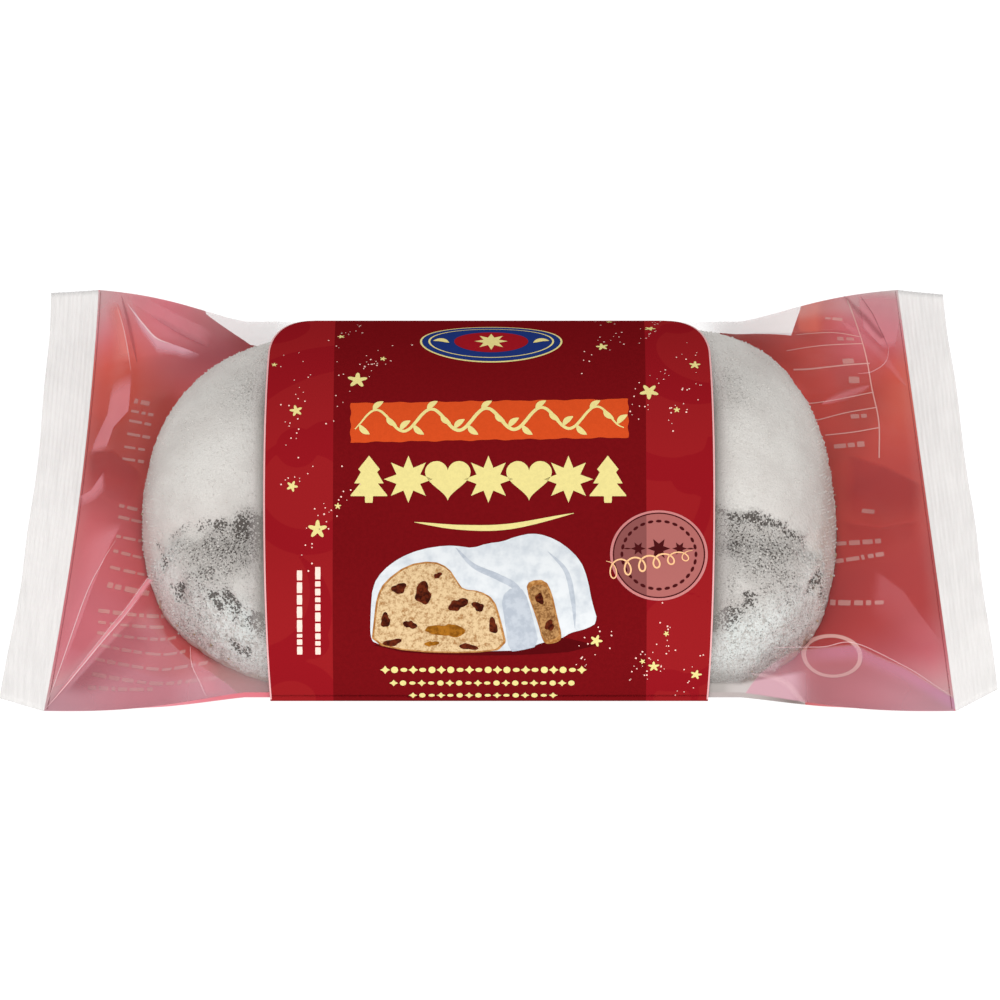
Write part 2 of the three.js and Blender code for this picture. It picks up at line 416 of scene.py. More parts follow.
def add_ribbon(bm, surface, points, width, lift, material=0, steps=40, scale=(1, 1), across=2,
               strength=1.0, taper=0.5, blunt=0.0):
    """A ribbon along a curve on a surface, narrowing to its ends, the last one less where blunt."""
    def place(u, v):
        here, ahead, behind = (
            curve_through(points, np.clip(u + step, 0, 1)) * scale for step in (0, 0.01, -0.01)
        )
        along = ahead - behind
        along /= np.maximum(np.linalg.norm(along, axis=-1, keepdims=True), 1e-9)
        aside = np.stack((-along[..., 1], along[..., 0]), -1)
        breadth = width * np.maximum(np.sin(math.pi * u * (1 - 0.5 * blunt)), 0.02) ** taper
        return surface((here + aside * ((v - 0.5) * breadth)[..., None]) / scale, lift)

    def masks(u, v):
        return {"strength": strength, "edge": 1 - np.abs(2 * v - 1)}

    add_grid(bm, steps, across, place, material, masks)


def add_facet(bm, surface, first, second, lift, material, strength, fade):
    """A patch between two curves on a surface, crisp along the first and fading to the second."""
    def place(u, v):
        sides = [
            np.stack([np.interp(u, np.linspace(0, 1, len(line)), axis) for axis in zip(*line)], -1)
            for line in (first, second)
        ]
        return surface(lerp(*sides, v[..., None]), lift)

    def masks(u, v):
        ends = np.minimum(1, 5 * np.minimum(u, 1 - u) + 0.15)
        return {"strength": strength, "edge": np.minimum(v / 0.08, 1) * (1 - v) ** fade * ends}

    add_grid(bm, 36, 14, place, material, masks)


def star(radius, points=8, waist=0.42):
    """Edge of a star with straight sides, for a patch with twice as many segments."""
    def edge(angle):
        return np.where(np.round(angle / TURN * points * 2).astype(int) % 2 == 0, radius, radius * waist)
    return edge


def plump_star(radius, turn):
    """Edge of a five-point star with rounded tips."""
    def edge(angle):
        return radius * (0.44 + 0.56 * (0.5 + 0.5 * np.cos(5 * (angle - turn))) ** 1.25)
    return edge


def polygon(corners):
    """Edge of a shape that is seen whole from its own centre, by its corners."""
    corners = np.array(corners, float)

    def edge(angle):
        direction = np.stack((np.cos(angle), np.sin(angle)), -1)
        reach = np.zeros_like(angle)
        for start, end in zip(corners, np.roll(corners, -1, axis=0)):
            side = end - start
            cross = direction[:, 0] * side[1] - direction[:, 1] * side[0]
            cross = np.where(np.abs(cross) < 1e-9, 1e-9, cross)
            far = (start[0] * side[1] - start[1] * side[0]) / cross
            share = (start[0] * direction[:, 1] - start[1] * direction[:, 0]) / cross
            hit = (far > 0) & (share >= -1e-6) & (share <= 1 + 1e-6)
            reach = np.where(hit, np.maximum(reach, far), reach)
        return reach
    return edge


def ellipse(half_x, half_y, turn=0.0):
    def edge(angle):
        return half_x * half_y / np.hypot(half_y * np.cos(angle - turn), half_x * np.sin(angle - turn))
    return edge


def mesh_object(bm, name, materials):
    mesh = bpy.data.meshes.new(name)
    bm.to_mesh(mesh)
    bm.free()
    for material in materials:
        mesh.materials.append(material)
    made = bpy.data.objects.new(name, mesh)
    bpy.context.scene.collection.objects.link(made)
    return made


def finish_piece(bm, name, materials, node=None, outward=False):
    """Turns a bmesh into a piece that rides on the pack."""
    if not bm.faces:
        raise RuntimeError(f"{name} has no faces")
    if outward:
        bmesh.ops.recalc_face_normals(bm, faces=bm.faces[:])
    piece = mesh_object(bm, name, materials)
    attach(piece, "root")
    if node:
        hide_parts(node)


# --- shader tools ---


class Graph:
    """Adds nodes to a shader tree. An input is a plain value or another node's socket."""

    def __init__(self, tree, material=None):
        self.tree = tree
        self.material = material

    def add(self, kind, inputs=None, **options):
        node = self.tree.nodes.new(kind)
        for name, value in options.items():
            setattr(node, name, value)
        for name, value in (inputs or {}).items():
            socket = node.inputs[name]
            if isinstance(value, bpy.types.NodeSocket):
                self.tree.links.new(value, socket)
            elif socket.type == "RGBA" and len(value) == 3:
                socket.default_value = (*value, 1)
            else:
                socket.default_value = value
        return node

    def math(self, operation, first, second, clamp=False):
        node = self.add("ShaderNodeMath", {0: first, 1: second}, operation=operation, use_clamp=clamp)
        return node.outputs[0]

    def times(self, first, second, clamp=False):
        return self.math("MULTIPLY", first, second, clamp)

    def plus(self, first, second, clamp=False):
        return self.math("ADD", first, second, clamp)

    def minus(self, first, second):
        return self.math("SUBTRACT", first, second)

    def step(self, value, low, high):
        """0 below low, 1 above high and smooth between."""
        inputs = {"Value": value, "From Min": low, "From Max": high, "To Min": 0.0, "To Max": 1.0}
        return self.add("ShaderNodeMapRange", inputs, interpolation_type="SMOOTHSTEP").outputs[0]

    def mix(self, share, first, second):
        return self.add("ShaderNodeMix", {0: share, 6: first, 7: second}, data_type="RGBA").outputs[2]

    def noise(self, scale, detail, roughness, distortion=0.0, vector=None, output="Fac"):
        inputs = {"Scale": scale, "Detail": detail, "Roughness": roughness, "Distortion": distortion}
        inputs["Vector"] = self.place() if vector is None else vector
        return self.add("ShaderNodeTexNoise", inputs).outputs[output]

    def mask(self, name):
        return self.add("ShaderNodeAttribute", attribute_name=name).outputs["Fac"]

    def place(self):
        return self.add("ShaderNodeTexCoord").outputs["Object"]

    def pack_x(self):
        return self.add("ShaderNodeSeparateXYZ", {0: self.place()}).outputs["X"]

    def effect(self, name, **inputs):
        """The outputs Value and Height of a shared effect."""
        return self.add("ShaderNodeGroup", inputs, node_tree=shared_effect(name)).outputs

    def bump(self, height, strength, distance):
        inputs = {"Height": height, "Strength": strength, "Distance": distance}
        return self.add("ShaderNodeBump", inputs).outputs[0]

    def body(self, shade, roughness=0.5, specular=0.0, normal=None):
        inputs = {"Base Color": shade, "Roughness": roughness, "Specular IOR Level": specular}
        if normal is not None:
            inputs["Normal"] = normal
        return self.add("ShaderNodeBsdfPrincipled", inputs).outputs[0]

    def blend(self, share, first, second):
        return self.add("ShaderNodeMixShader", {0: share, 1: first, 2: second}).outputs[0]

    def over_clear(self, cover, body):
        clear = self.add("ShaderNodeBsdfTransparent", {"Color": (1, 1, 1)}).outputs[0]
        return self.blend(cover, clear, body)

    def glossy_film(self, body, cover, normal, roughness, gloss):
        """A layer that shows body where cover is 1, is clear elsewhere, and reflects."""
        inputs = {"Color": (1, 1, 1), "Roughness": roughness, "Normal": normal}
        shine = self.add("ShaderNodeBsdfGlossy", inputs).outputs[0]
        inside = self.add("ShaderNodeNewGeometry").outputs["Backfacing"]
        index = self.minus(1.38, self.times(inside, 1.38 - 1 / 1.38))
        rim = self.add("ShaderNodeFresnel", {"IOR": index, "Normal": normal}).outputs[0]
        return self.blend(self.times(rim, gloss), self.over_clear(cover, body), shine)

    def finish(self, shader):
        self.add("ShaderNodeOutputMaterial", {"Surface": shader})
        return self.material


def material_graph(name):
    material = bpy.data.materials.new(name)
    material.use_nodes = True
    material.node_tree.nodes.clear()
    return Graph(material.node_tree, material)


def fine_grain(graph):
    """An uneven value for colours and a height for bumps."""
    scale = graph.math("DIVIDE", 1000.0, graph.add("NodeGroupInput").outputs["Size"])
    fine = graph.noise(graph.times(scale, 2.7), 2.0, 0.6)
    return graph.plus(graph.times(graph.noise(scale, 3.0, 0.6), 0.6), graph.times(fine, 0.4)), fine


def film_ripple(graph):
    """Slow waves of thin film."""
    broad = graph.noise(38.0, 2.0, 0.5, 0.6)
    return broad, graph.plus(broad, graph.times(graph.noise(140.0, 1.0, 0.4, 0.3), 0.15))


# Shared effects: what fills each and the names of its inputs.
EFFECTS = {"Fine grain": (fine_grain, ("Size",)), "Film ripple": (film_ripple, ())}


def shared_effect(name):
    """The node group of an effect, made when it is first used."""
    group = bpy.data.node_groups.get(name)
    if group:
        return group
    group = bpy.data.node_groups.new(name, "ShaderNodeTree")
    fill, given = EFFECTS[name]
    for label in given:
        group.interface.new_socket(label, in_out="INPUT", socket_type="NodeSocketFloat").default_value = 1
    for label in ("Value", "Height"):
        group.interface.new_socket(label, in_out="OUTPUT", socket_type="NodeSocketFloat")
    graph = Graph(group)
    value, height = fill(graph)
    graph.add("NodeGroupOutput", {"Value": value, "Height": height})
    return group


# --- film materials ---


def clear_film_material(film):
    graph = material_graph("clear film")
    normal = graph.bump(graph.effect("Film ripple")["Height"], 0.25, 0.001)
    veil = graph.step(graph.mask("veil"), -0.35, 0.35)
    lilac, shaded = graph.mask("lilac"), graph.mask("shade")
    tint = graph.mix(lilac, film.veil, film.lilac)
    shade = graph.mix(graph.times(veil, 0.9), graph.mix(shaded, film.milk, srgb(130, 125, 119)), tint)
    veiled = graph.times(veil, graph.plus(0.26, graph.times(lilac, 0.3)))
    cover = graph.plus(graph.times(shaded, 0.6), film.haze)
    cover = graph.plus(graph.plus(veiled, graph.mask("haze")), cover, clamp=True)
    return graph.finish(graph.glossy_film(graph.body(shade, 0.5, 0.2, normal), cover, normal, 0.16, 0.4))


def printed_film_material(film):
    """Red back print: broad fields by place, painted shade in the hollows of its ripples, clear beyond the
    print's edge.
    """
    graph = material_graph("printed film")
    ripple = graph.effect("Film ripple")
    normal = graph.bump(ripple["Height"], 0.3, 0.001)
    # Painted shade: the red dims in the hollows of the film's ripples.
    shade = graph.mix(graph.step(ripple["Value"], 0.36, 0.6), dimmed(film.red, 0.8), film.red)
    for name in ("deep", "pink", "glow"):
        shade = graph.mix(graph.mask(name), shade, getattr(film, name))
    printed = graph.step(graph.mask("print_edge"), -0.03, 0.03)
    # Beyond the print's edge the film is milky, turned grey-brown by the deep mask as painted shade.
    shade = graph.mix(printed, graph.mix(graph.mask("deep"), film.milk, srgb(104, 84, 78)), shade)
    bare = graph.plus(graph.times(graph.mask("milk"), graph.minus(1.0, printed)), 0.04)
    cover = graph.plus(graph.times(printed, 0.96), bare, clamp=True)
    return graph.finish(graph.glossy_film(graph.body(shade, 0.5, 0.1, normal), cover, normal, 0.25, 0.2))


def seal_material(film):
    """Welded fins: milky ribs, dimmer along fine streaks that also give the bump, with painted shade in the
    troughs between the ribs.
    """
    graph = material_graph("welded seal")
    drawn = graph.add("ShaderNodeMapping", {"Vector": graph.place(), "Scale": (1, 0.05, 1)}).outputs[0]
    lines = graph.noise(1400.0, 2.0, 0.6, vector=drawn)
    value = graph.plus(graph.times(lines, 0.6), graph.times(graph.noise(60.0, 2.0, 0.5), 0.4))
    dim = dimmed(film.seal, 0.91)
    shade = graph.mix(graph.step(value, 0.35, 0.6), dim, film.seal)
    # Painted shade: where the rib mask is 1, in the troughs between the ribs, the seal takes the dimmer
    # colour.
    shade = graph.mix(graph.times(graph.mask("rib"), 0.1), shade, dim)
    normal = graph.bump(lines, 0.3, 0.0003)
    return graph.finish(graph.glossy_film(graph.body(shade, 0.45, 0.4, normal), 0.6, normal, 0.3, 0.3))


def streak_material(name, shade, softness=0.9):
    """A soft see-through streak, strongest along its middle."""
    graph = material_graph(name)
    cover = graph.times(graph.step(graph.mask("edge"), 0.0, softness), graph.mask("strength"))
    tone = graph.mix(graph.noise(260.0, 2.0, 0.5), dimmed(shade, 0.9), shade)
    return graph.finish(graph.over_clear(cover, graph.body(tone, 0.5, 0.2)))


# --- film pieces ---

# Upper edge of the print's wrap over the front: places away from the tube and heights across.
VEIL_EDGE = {
    "left": ((0, 0.08, 0.18, 0.28, 0.38, 0.5, 0.78, 1), (-0.02, 0.03, 0.07, 0.1, 0.14, 0.2, 0.16, 0.02)),
    "right": (
        (0, 0.05, 0.09, 0.16, 0.23, 0.28, 0.38, 0.55, 0.78, 1),
        (-0.02, 0.03, 0.06, 0.09, 0.112, 0.12, 0.132, 0.148, 0.1, 0.03),
    ),
}


def front_masks(u, v):
    """Point values of the clear film: the wrapped print, its lilac edge, haze and shade."""
    left = u <= 0.5
    away = np.clip(np.where(left, 1 - u / 0.4, (u - 0.6) / 0.4), 0, 1)
    left_edge, right_edge = (np.interp(away, *VEIL_EDGE[side]) for side in SIDES)
    crisp = np.where(left, 1 - 0.9 * smooth(away, 0.32, 0.45), 1.0)
    veil = (np.where(left, left_edge, right_edge) - v) * 2 * SEAL_HALF * crisp
    depth = (right_edge - v) * 2 * SEAL_HALF
    lilac = smooth(depth, -0.5, 0.5) * smooth(depth, 5, 1.5) * smooth(away, 0.2, 0.5) * 0.6
    corners = smooth(np.abs(2 * v - 1), 0.7, 1) * smooth(away, 0.5, 1) * 0.36
    top = smooth(v, 0.9, 0.97) * smooth(away, 0.3, 0.4) * 0.2
    wedge = smooth(0.03 + away * 0.16 - v, -0.004, 0.008) * smooth(away, 0.34, 0.2) * 0.6
    x = along_pack(film_top, u, v)[..., 0]
    gap = np.maximum(LABEL_LEFT - x, x - LABEL_RIGHT) - 1
    beside = smooth(gap, 3.6, 0.8) * smooth(v, 0.02, 0.2) * smooth(v, 0.78, 0.6)
    foot = smooth(v, 0.12, 0.04) * smooth(away, 0.4, 0.2)
    foot *= np.where(left, 0.5, 0.42 + 0.35 * smooth(gap, 5, 1.5))
    return {
        "veil": np.where(away > 0, veil, -5),
        "lilac": np.where(left, 0, lilac),
        "haze": smooth(away, 0.9, 1.0) * 0.06 + corners + np.where(left, 0, top + wedge),
        "shade": np.maximum(beside, foot) * (gap > -1.5),
    }


class STOLLEN_OT_film_front(bpy.types.Operator):
    """Build the clear upper film, with its creases, gathers and haze"""

    bl_idname = "stollen.film_front"
    bl_label = "Clear Film"

    def execute(self, context):
        bm = bmesh.new()
        add_grid(bm, 210, 190, lambda u, v: along_pack(creased_top, u, v), masks=front_masks)
        finish_piece(bm, "film_front", [clear_film_material(context.scene.stollen_film)], "bag")
        return {"FINISHED"}


# Where the back print ends on the wall, as places along the pack and heights, and at the front,
# as places along it and across it.
BACK_EDGE = (
    (-100, -62, -61, -52, -45, 40, 45.8, 54, 60.6, 62.5, 64, 100),
    (60, 60, 20.4, 9.3, 7, 13, 14.7, 13, 11.5, 20, 60, 60),
)
FRONT_EDGE = ((-100, 38, 42, 50, 62, 64, 100), (-99, -99, -41.5, -41.5, -47.5, -99, -99))


def back_masks(u, v):
    """Point values of the printed film: where the print ends and how its colour changes. pink is painted
    light, deep and the front part of milk are painted shade.
    """
    x, y, z = np.moveaxis(along_pack(film_base, u, v), -1, 0)
    front = np.where(v < 0.3, y - np.interp(x, *FRONT_EDGE), 5)
    # pink: painted light, where light comes through the print.
    pink = (
        smooth(-x, 56, 82) * smooth(-y, -10, 34) * 0.85
        + smooth(x, 52, 88) * smooth(-y, 26, 50) * 0.9
        + smooth(-x, 46, 58) * smooth(y, 33, 46)
        + smooth(x, 64, 76) * smooth(y, 32, 48)
        + smooth(-x, 36, 50) * smooth(-y, 38, 43) * 0.8
        + smooth(-x, 64, 80) * hill(y, -1, 12) * 0.3
    )
    # deep: painted shade under the loaf, at the front of the right end and across the middle near each seal.
    deep = (
        hill(y, 6, 11) * smooth(np.abs(x), 66, 74) * np.where(x < 0, 0.12, 0.36)
        + smooth(np.abs(x), 64, 59) * smooth(y, 34, 24) * 0.5
        + smooth(x, 50, 66) * smooth(-y, -4, 18) * 0.68
    )
    glow = (
        hill(x, 84, 5) * hill(y, 28, 9) * 0.8
        + smooth(x, 61.5, 62.5) * smooth(x, 68, 64) * smooth(y, 43.2, 43.6) * 1.5
        + hill(x, -78, 6) * hill(y, 36, 12) * 0.6
    )
    milk = smooth(np.abs(x), 40, 48) * smooth(y, 20, 30) * np.where(x < 0, 0.36, 0.44)
    return {
        "print_edge": np.where(v > 0.7, np.interp(x, *BACK_EDGE) - z, front),
        "pink": np.clip(pink, 0, 1),
        "deep": np.clip(deep, 0, 1),
        "glow": np.clip(glow, 0, 1),
        # The front of the right end's clear film gets a grey cover: painted shade of the loaf's foot and
        # floor beneath it.
        "milk": milk + smooth(-y, 38, 41) * smooth(x, 38, 40) * 0.85,
    }


class STOLLEN_OT_film_back(bpy.types.Operator):
    """Build the printed lower film, from the back fold under the loaf to the front fold"""

    bl_idname = "stollen.film_back"
    bl_label = "Printed Film"

    def execute(self, context):
        bm = bmesh.new()
        add_grid(bm, 320, 170, lambda u, v: along_pack(film_base, u, v), masks=back_masks)
        bmesh.ops.reverse_faces(bm, faces=bm.faces[:])
        finish_piece(bm, "film_back", [printed_film_material(context.scene.stollen_film)])
        return {"FINISHED"}


class STOLLEN_OT_back_seam(bpy.types.Operator):
    """Build the flat lengthwise seam that lies folded under the pack"""

    bl_idname = "stollen.back_seam"
    bl_label = "Back Seam"

    def execute(self, context):
        def place(u, v):
            points = along_pack(film_base, lerp(0.02, 0.98, u), lerp(0.41, 0.52, v))
            points[..., 2] = np.maximum(points[..., 2] - 0.17 + 0.04 * np.sin(v * TURN * 9), 0.04)
            return points

        bm = bmesh.new()
        add_grid(bm, 120, 54, place)
        bmesh.ops.reverse_faces(bm, faces=bm.faces[:])
        finish_piece(bm, "back_seam", [seal_material(context.scene.stollen_film)])
        return {"FINISHED"}


def seal_surface(side, out, across):
    """A fin between its seal line, out 0, and its cut edge, out 1."""
    line = SEAL_LINE[side]
    spread = SEAL_HALF * (2 * across - 1)
    y = spread * (1 - line["taper"] / SEAL_HALF * out)
    wave = 0.16 * np.sin(across * 31 + out * 2) * out + 0.1 * np.sin(across * 83) * out ** 2
    width = line["width"] + SEAL_FLARE * (2 * across - 1) + 0.15 * np.sin(across * 19)
    x = seal_x(side, spread) + OUTWARD[side] * width * out
    return stack(x, y, SEAL_HEIGHT + line["lift"] * out + wave)


class STOLLEN_OT_end_seals(bpy.types.Operator):
    """Build the two ribbed fins that close the ends"""

    bl_idname = "stollen.end_seals"
    bl_label = "End Seals"

    def execute(self, context):
        film = context.scene.stollen_film
        material = seal_material(film)
        for side in SIDES:
            ribs = SEAL_LINE[side]["width"] * MM / film.rib_pitch

            def place(u, v):
                points = seal_surface(side, u, v)
                points[..., 2] += film.rib_height / MM * np.sin(u * TURN * ribs)
                return points

            bm = bmesh.new()
            # rib is 1 in the troughs of the ribs, where the seal's colour gets painted shade.
            add_grid(bm, 96, 70, place, masks=lambda u, v: {"rib": 0.5 - 0.5 * np.sin(u * TURN * ribs)})
            if side == "left":
                bmesh.ops.reverse_faces(bm, faces=bm.faces[:])
            bmesh.ops.solidify(bm, geom=bm.faces[:], thickness=0.00012)
            finish_piece(bm, f"seal_{side}", [material], outward=True)
        return {"FINISHED"}


# Facets of the crumpled clear film, painted lighter or darker as light and shade on its folds: side,
# kind, strength, how fast they fade to the far edge, and the crisp edge and the far edge as (away, across).
FACETS = (
    ("left", "salmon", 0.6, 1, ((0.86, 0.97), (0.8, 0.89), (0.74, 0.8)),
     ((0.96, 0.97), (0.94, 0.9), (0.9, 0.78))),
    ("left", "rose", 0.5, 0.15, ((0.73, 0.77), (0.73, 0.67), (0.82, 0.64), (0.86, 0.59)),
     ((0.86, 0.76), (0.88, 0.68), (0.94, 0.63), (0.97, 0.59))),
    ("left", "dark", 0.28, 0.5, ((0.98, 0.61), (0.82, 0.59), (0.6, 0.51)),
     ((0.99, 0.53), (0.8, 0.47), (0.62, 0.43))),
    ("left", "rose", 0.5, 0.5, ((1, 0.5), (0.93, 0.51), (0.86, 0.55)),
     ((0.99, 0.47), (0.89, 0.48), (0.83, 0.5))),
    ("left", "rose", 0.4, 0.7, ((0.7, 0.41), (0.76, 0.37), (0.84, 0.28), (0.96, 0.07)),
     ((1, 0.45), (1, 0.28), (1, 0.16), (1, 0.05))),
    ("left", "dark", 0.3, 0.8, ((0.59, 0.21), (0.74, 0.14), (0.92, 0.04)),
     ((0.39, 0.14), (0.59, 0.07), (0.82, 0.02))),
    ("left", "rose", 0.25, 0.8, ((0.28, 0.13), (0.27, 0.09), (0.23, 0.05), (0.19, 0.004)),
     ((0.15, 0.09), (0.11, 0.06), (0.09, 0.02), (0.05, 0.004))),
    ("left", "lilac", 0.62, 0.7, ((0.78, 0.97), (0.69, 0.9), (0.58, 0.84), (0.45, 0.81), (0.28, 0.77)),
     ((0.78, 0.94), (0.69, 0.87), (0.57, 0.8), (0.45, 0.78), (0.33, 0.75))),
    ("left", "dark", 0.35, 0.8, ((0.65, 0.93), (0.43, 0.85), (0.24, 0.79)),
     ((0.58, 0.93), (0.38, 0.87), (0.21, 0.81))),
    ("left", "rose", 0.3, 0.1, ((0.8, 0.975), (0.65, 0.93), (0.43, 0.85), (0.24, 0.79)),
     ((0.82, 0.998), (0.66, 0.99), (0.42, 0.93), (0.2, 0.86))),
    ("right", "rose", 0.5, 0.1, ((0.74, 0.998), (0.74, 0.89), (0.86, 0.84)),
     ((1, 0.998), (0.99, 0.92), (0.93, 0.85))),
    ("right", "dark", 0.2, 0.9, ((0, 0.86), (0.31, 0.86), (0.73, 0.89)),
     ((0, 0.73), (0.35, 0.75), (0.78, 0.79))),
    ("right", "dark", 0.36, 0.6, ((0.57, 0.55), (0.79, 0.55), (0.99, 0.53)),
     ((0.51, 0.42), (0.69, 0.39), (0.98, 0.43))),
    ("right", "dark", 0.2, 0.9, ((0.5, 0.41), (0.72, 0.4), (0.95, 0.44)),
     ((0.5, 0.33), (0.74, 0.34), (0.96, 0.38))),
    ("right", "rose", 0.16, 0.8, ((0.99, 0.15), (0.82, 0.27), (0.68, 0.31)),
     ((0.92, 0.11), (0.72, 0.16), (0.6, 0.21))),
)
# Streaks on the clear film, painted highlights and painted shade along its creases:
# side, kind, points as (away, across), width, strength, taper, blunt.
STREAKS = (
    ("left", "bright", ((1, 0), (0.89, 0.24), (0.8, 0.33), (0.73, 0.375)), 0.3, 0.6, 0.6, 0),
    ("left", "rose", ((1, 0), (0.76, 0.155), (0.66, 0.205), (0.52, 0.28)), 2.1, 0.66, 0.8, 1),
    ("left", "bright", ((1, 0), (0.77, 0.145), (0.68, 0.19), (0.58, 0.24)), 0.3, 0.75, 0.5, 0),
    ("left", "bright", ((0.92, 0.06), (0.74, 0.175), (0.62, 0.235), (0.52, 0.29)), 0.25, 0.45, 0.5, 0.6),
    ("left", "bright", ((0.8, 0.965), (0.7, 0.905), (0.59, 0.845), (0.47, 0.812)), 0.7, 0.7, 0.8, 0),
    ("left", "dark", ((0.84, 0.985), (0.76, 0.88), (0.7, 0.79)), 1.2, 0.4, 0.6, 0),
    ("left", "bright", ((0.87, 0.96), (0.8, 0.88), (0.735, 0.77)), 0.25, 0.5, 0.6, 0),
    ("left", "pale", ((0.28, 0.13), (0.27, 0.09), (0.23, 0.05), (0.19, 0.004)), 0.3, 0.4, 0.3, 0),
    ("right", "dark", ((0.66, 0.995), (0.745, 0.93), (0.86, 0.87)), 2.6, 0.35, 0.5, 0.4),
    ("right", "dark", ((0.76, 0.985), (0.82, 0.925), (0.885, 0.85)), 0.4, 0.5, 0.3, 0),
    ("right", "pale", ((0.89, 0.85), (0.86, 0.81), (0.77, 0.775), (0.68, 0.76)), 0.4, 0.35, 0.4, 0),
    ("right", "rose", ((0.74, 0.735), (0.6, 0.695), (0.45, 0.655)), 3.0, 0.3, 0.6, 0),
    ("right", "rose", ((0.96, 0.76), (0.82, 0.83), (0.62, 0.9)), 4.0, 0.18, 0.6, 0),
    ("right", "pale", ((0.15, 0.122), (0.38, 0.134), (0.55, 0.15), (0.78, 0.102), (0.99, 0.032)),
     0.35, 0.5, 0.3, 0),
    ("right", "pale", ((0.05, 0.06), (0.2, 0.05), (0.3, 0.0)), 2.4, 0.22, 0.6, 0.3),
)
# Colours of the streaks and facets: bright, pale, rose, salmon and lilac are painted highlights, dark is
# painted shade.
STREAK_SHADES = {
    "bright": srgb(250, 226, 228),
    "rose": srgb(234, 152, 162),
    "dark": srgb(128, 34, 44),
    "pale": srgb(244, 206, 210),
    "lilac": srgb(228, 178, 192),
    "salmon": srgb(234, 138, 130),
}


class STOLLEN_OT_film_streaks(bpy.types.Operator):
    """Build the pale and dark streaks on the clear film: painted highlights and painted shade along its
    creases and folds
    """

    bl_idname = "stollen.film_streaks"
    bl_label = "Film Streaks"

    def execute(self, context):
        bm = bmesh.new()
        kinds = list(STREAK_SHADES)
        for order, (side, kind, strength, fade, first, second) in enumerate(FACETS):
            surface = on_layer(creased_top, side)
            add_facet(bm, surface, first, second, 0.1 + 0.01 * order, kinds.index(kind), strength, fade)
        for order, (side, kind, points, width, *ends) in enumerate(STREAKS):
            self.add_streak(bm, side, points, width, 0.26 + 0.012 * order, kinds.index(kind), 60, 6, *ends)
        # Painted shade: a thin dark line where the film meets each seal.
        for side in SIDES:
            line = ((0.985, 0.004), (0.985, 0.5), (0.985, 0.996))
            self.add_streak(bm, side, line, 0.3, 0.08, kinds.index("dark"), 120, 4, 0.55, 0.05)
        materials = [streak_material(f"{kind} streak", shade) for kind, shade in STREAK_SHADES.items()]
        finish_piece(bm, "film_streaks", materials)
        return {"FINISHED"}

    def add_streak(self, bm, side, points, width, lift, material, steps, across, *ends):
        surface = on_layer(creased_top, side)
        add_ribbon(bm, surface, points, width, lift, material, steps, END_SCALE[side], across, *ends)


# Plain ruled lines of the back print: points as (away, across) on the lower film.
RULED_LINES = (
    ((0.68, 0.985), (0.72, 0.91), (0.755, 0.84), (0.785, 0.75), (0.8, 0.68), (0.78, 0.597)),
    ((0.36, 0.873), (0.57, 0.88), (0.735, 0.873)),
    ((0.3, 0.822), (0.5, 0.84), (0.75, 0.855)),
    ((0.34, 0.785), (0.56, 0.795), (0.78, 0.808)),
    ((0.4, 0.727), (0.6, 0.738), (0.79, 0.752)),
    ((0.46, 0.69), (0.62, 0.705), (0.8, 0.716)),
    ((0.5, 0.655), (0.66, 0.66), (0.795, 0.668)),
)
# Rows of plain dashes: start (away, across), end (away, across) and the height of the dashes.
DASH_ROWS = {
    "left": (
        (0.733, 0.737, 0.61, 0.731, 1.6), (0.748, 0.713, 0.61, 0.707, 0.9), (0.755, 0.69, 0.62, 0.684, 0.9),
        (0.76, 0.659, 0.62, 0.654, 0.9), (0.771, 0.628, 0.62, 0.624, 0.9), (0.776, 0.6, 0.62, 0.596, 0.9),
        (0.768, 0.491, 0.63, 0.484, 0.9), (0.766, 0.465, 0.63, 0.458, 0.9), (0.766, 0.42, 0.62, 0.415, 0.9),
        (0.773, 0.386, 0.61, 0.377, 0.9), (0.78, 0.348, 0.58, 0.339, 0.9), (0.783, 0.307, 0.55, 0.298, 1.5),
        (0.813, 0.246, 0.45, 0.248, 1.2), (0.806, 0.22, 0.42, 0.224, 0.9), (0.803, 0.196, 0.38, 0.196, 0.9),
        (0.8, 0.169, 0.3, 0.159, 0.9), (0.793, 0.137, 0.2, 0.121, 1.1), (0.796, 0.1, 0.12, 0.079, 1.3),
        (0.805, 0.066, 0.45, 0.075, 1.3),
    ),
    "right": (
        (0.661, 0.478, 0.741, 0.472, 1.4), (0.5, 0.406, 0.743, 0.406, 1.3), (0.5, 0.366, 0.751, 0.376, 1.3),
        (0.46, 0.274, 0.725, 0.266, 1.4), (0.536, 0.928, 0.656, 0.92, 1.1), (0.6, 0.863, 0.699, 0.865, 1.3),
        (0.624, 0.806, 0.694, 0.81, 1.3), (0.655, 0.775, 0.728, 0.775, 1.3),
        (0.649, 0.696, 0.738, 0.697, 1.4), (0.543, 0.628, 0.728, 0.632, 1.4),
    ),
}
RING_CENTRE = (0.45, 0.152)
RING_RADIUS = 5.3


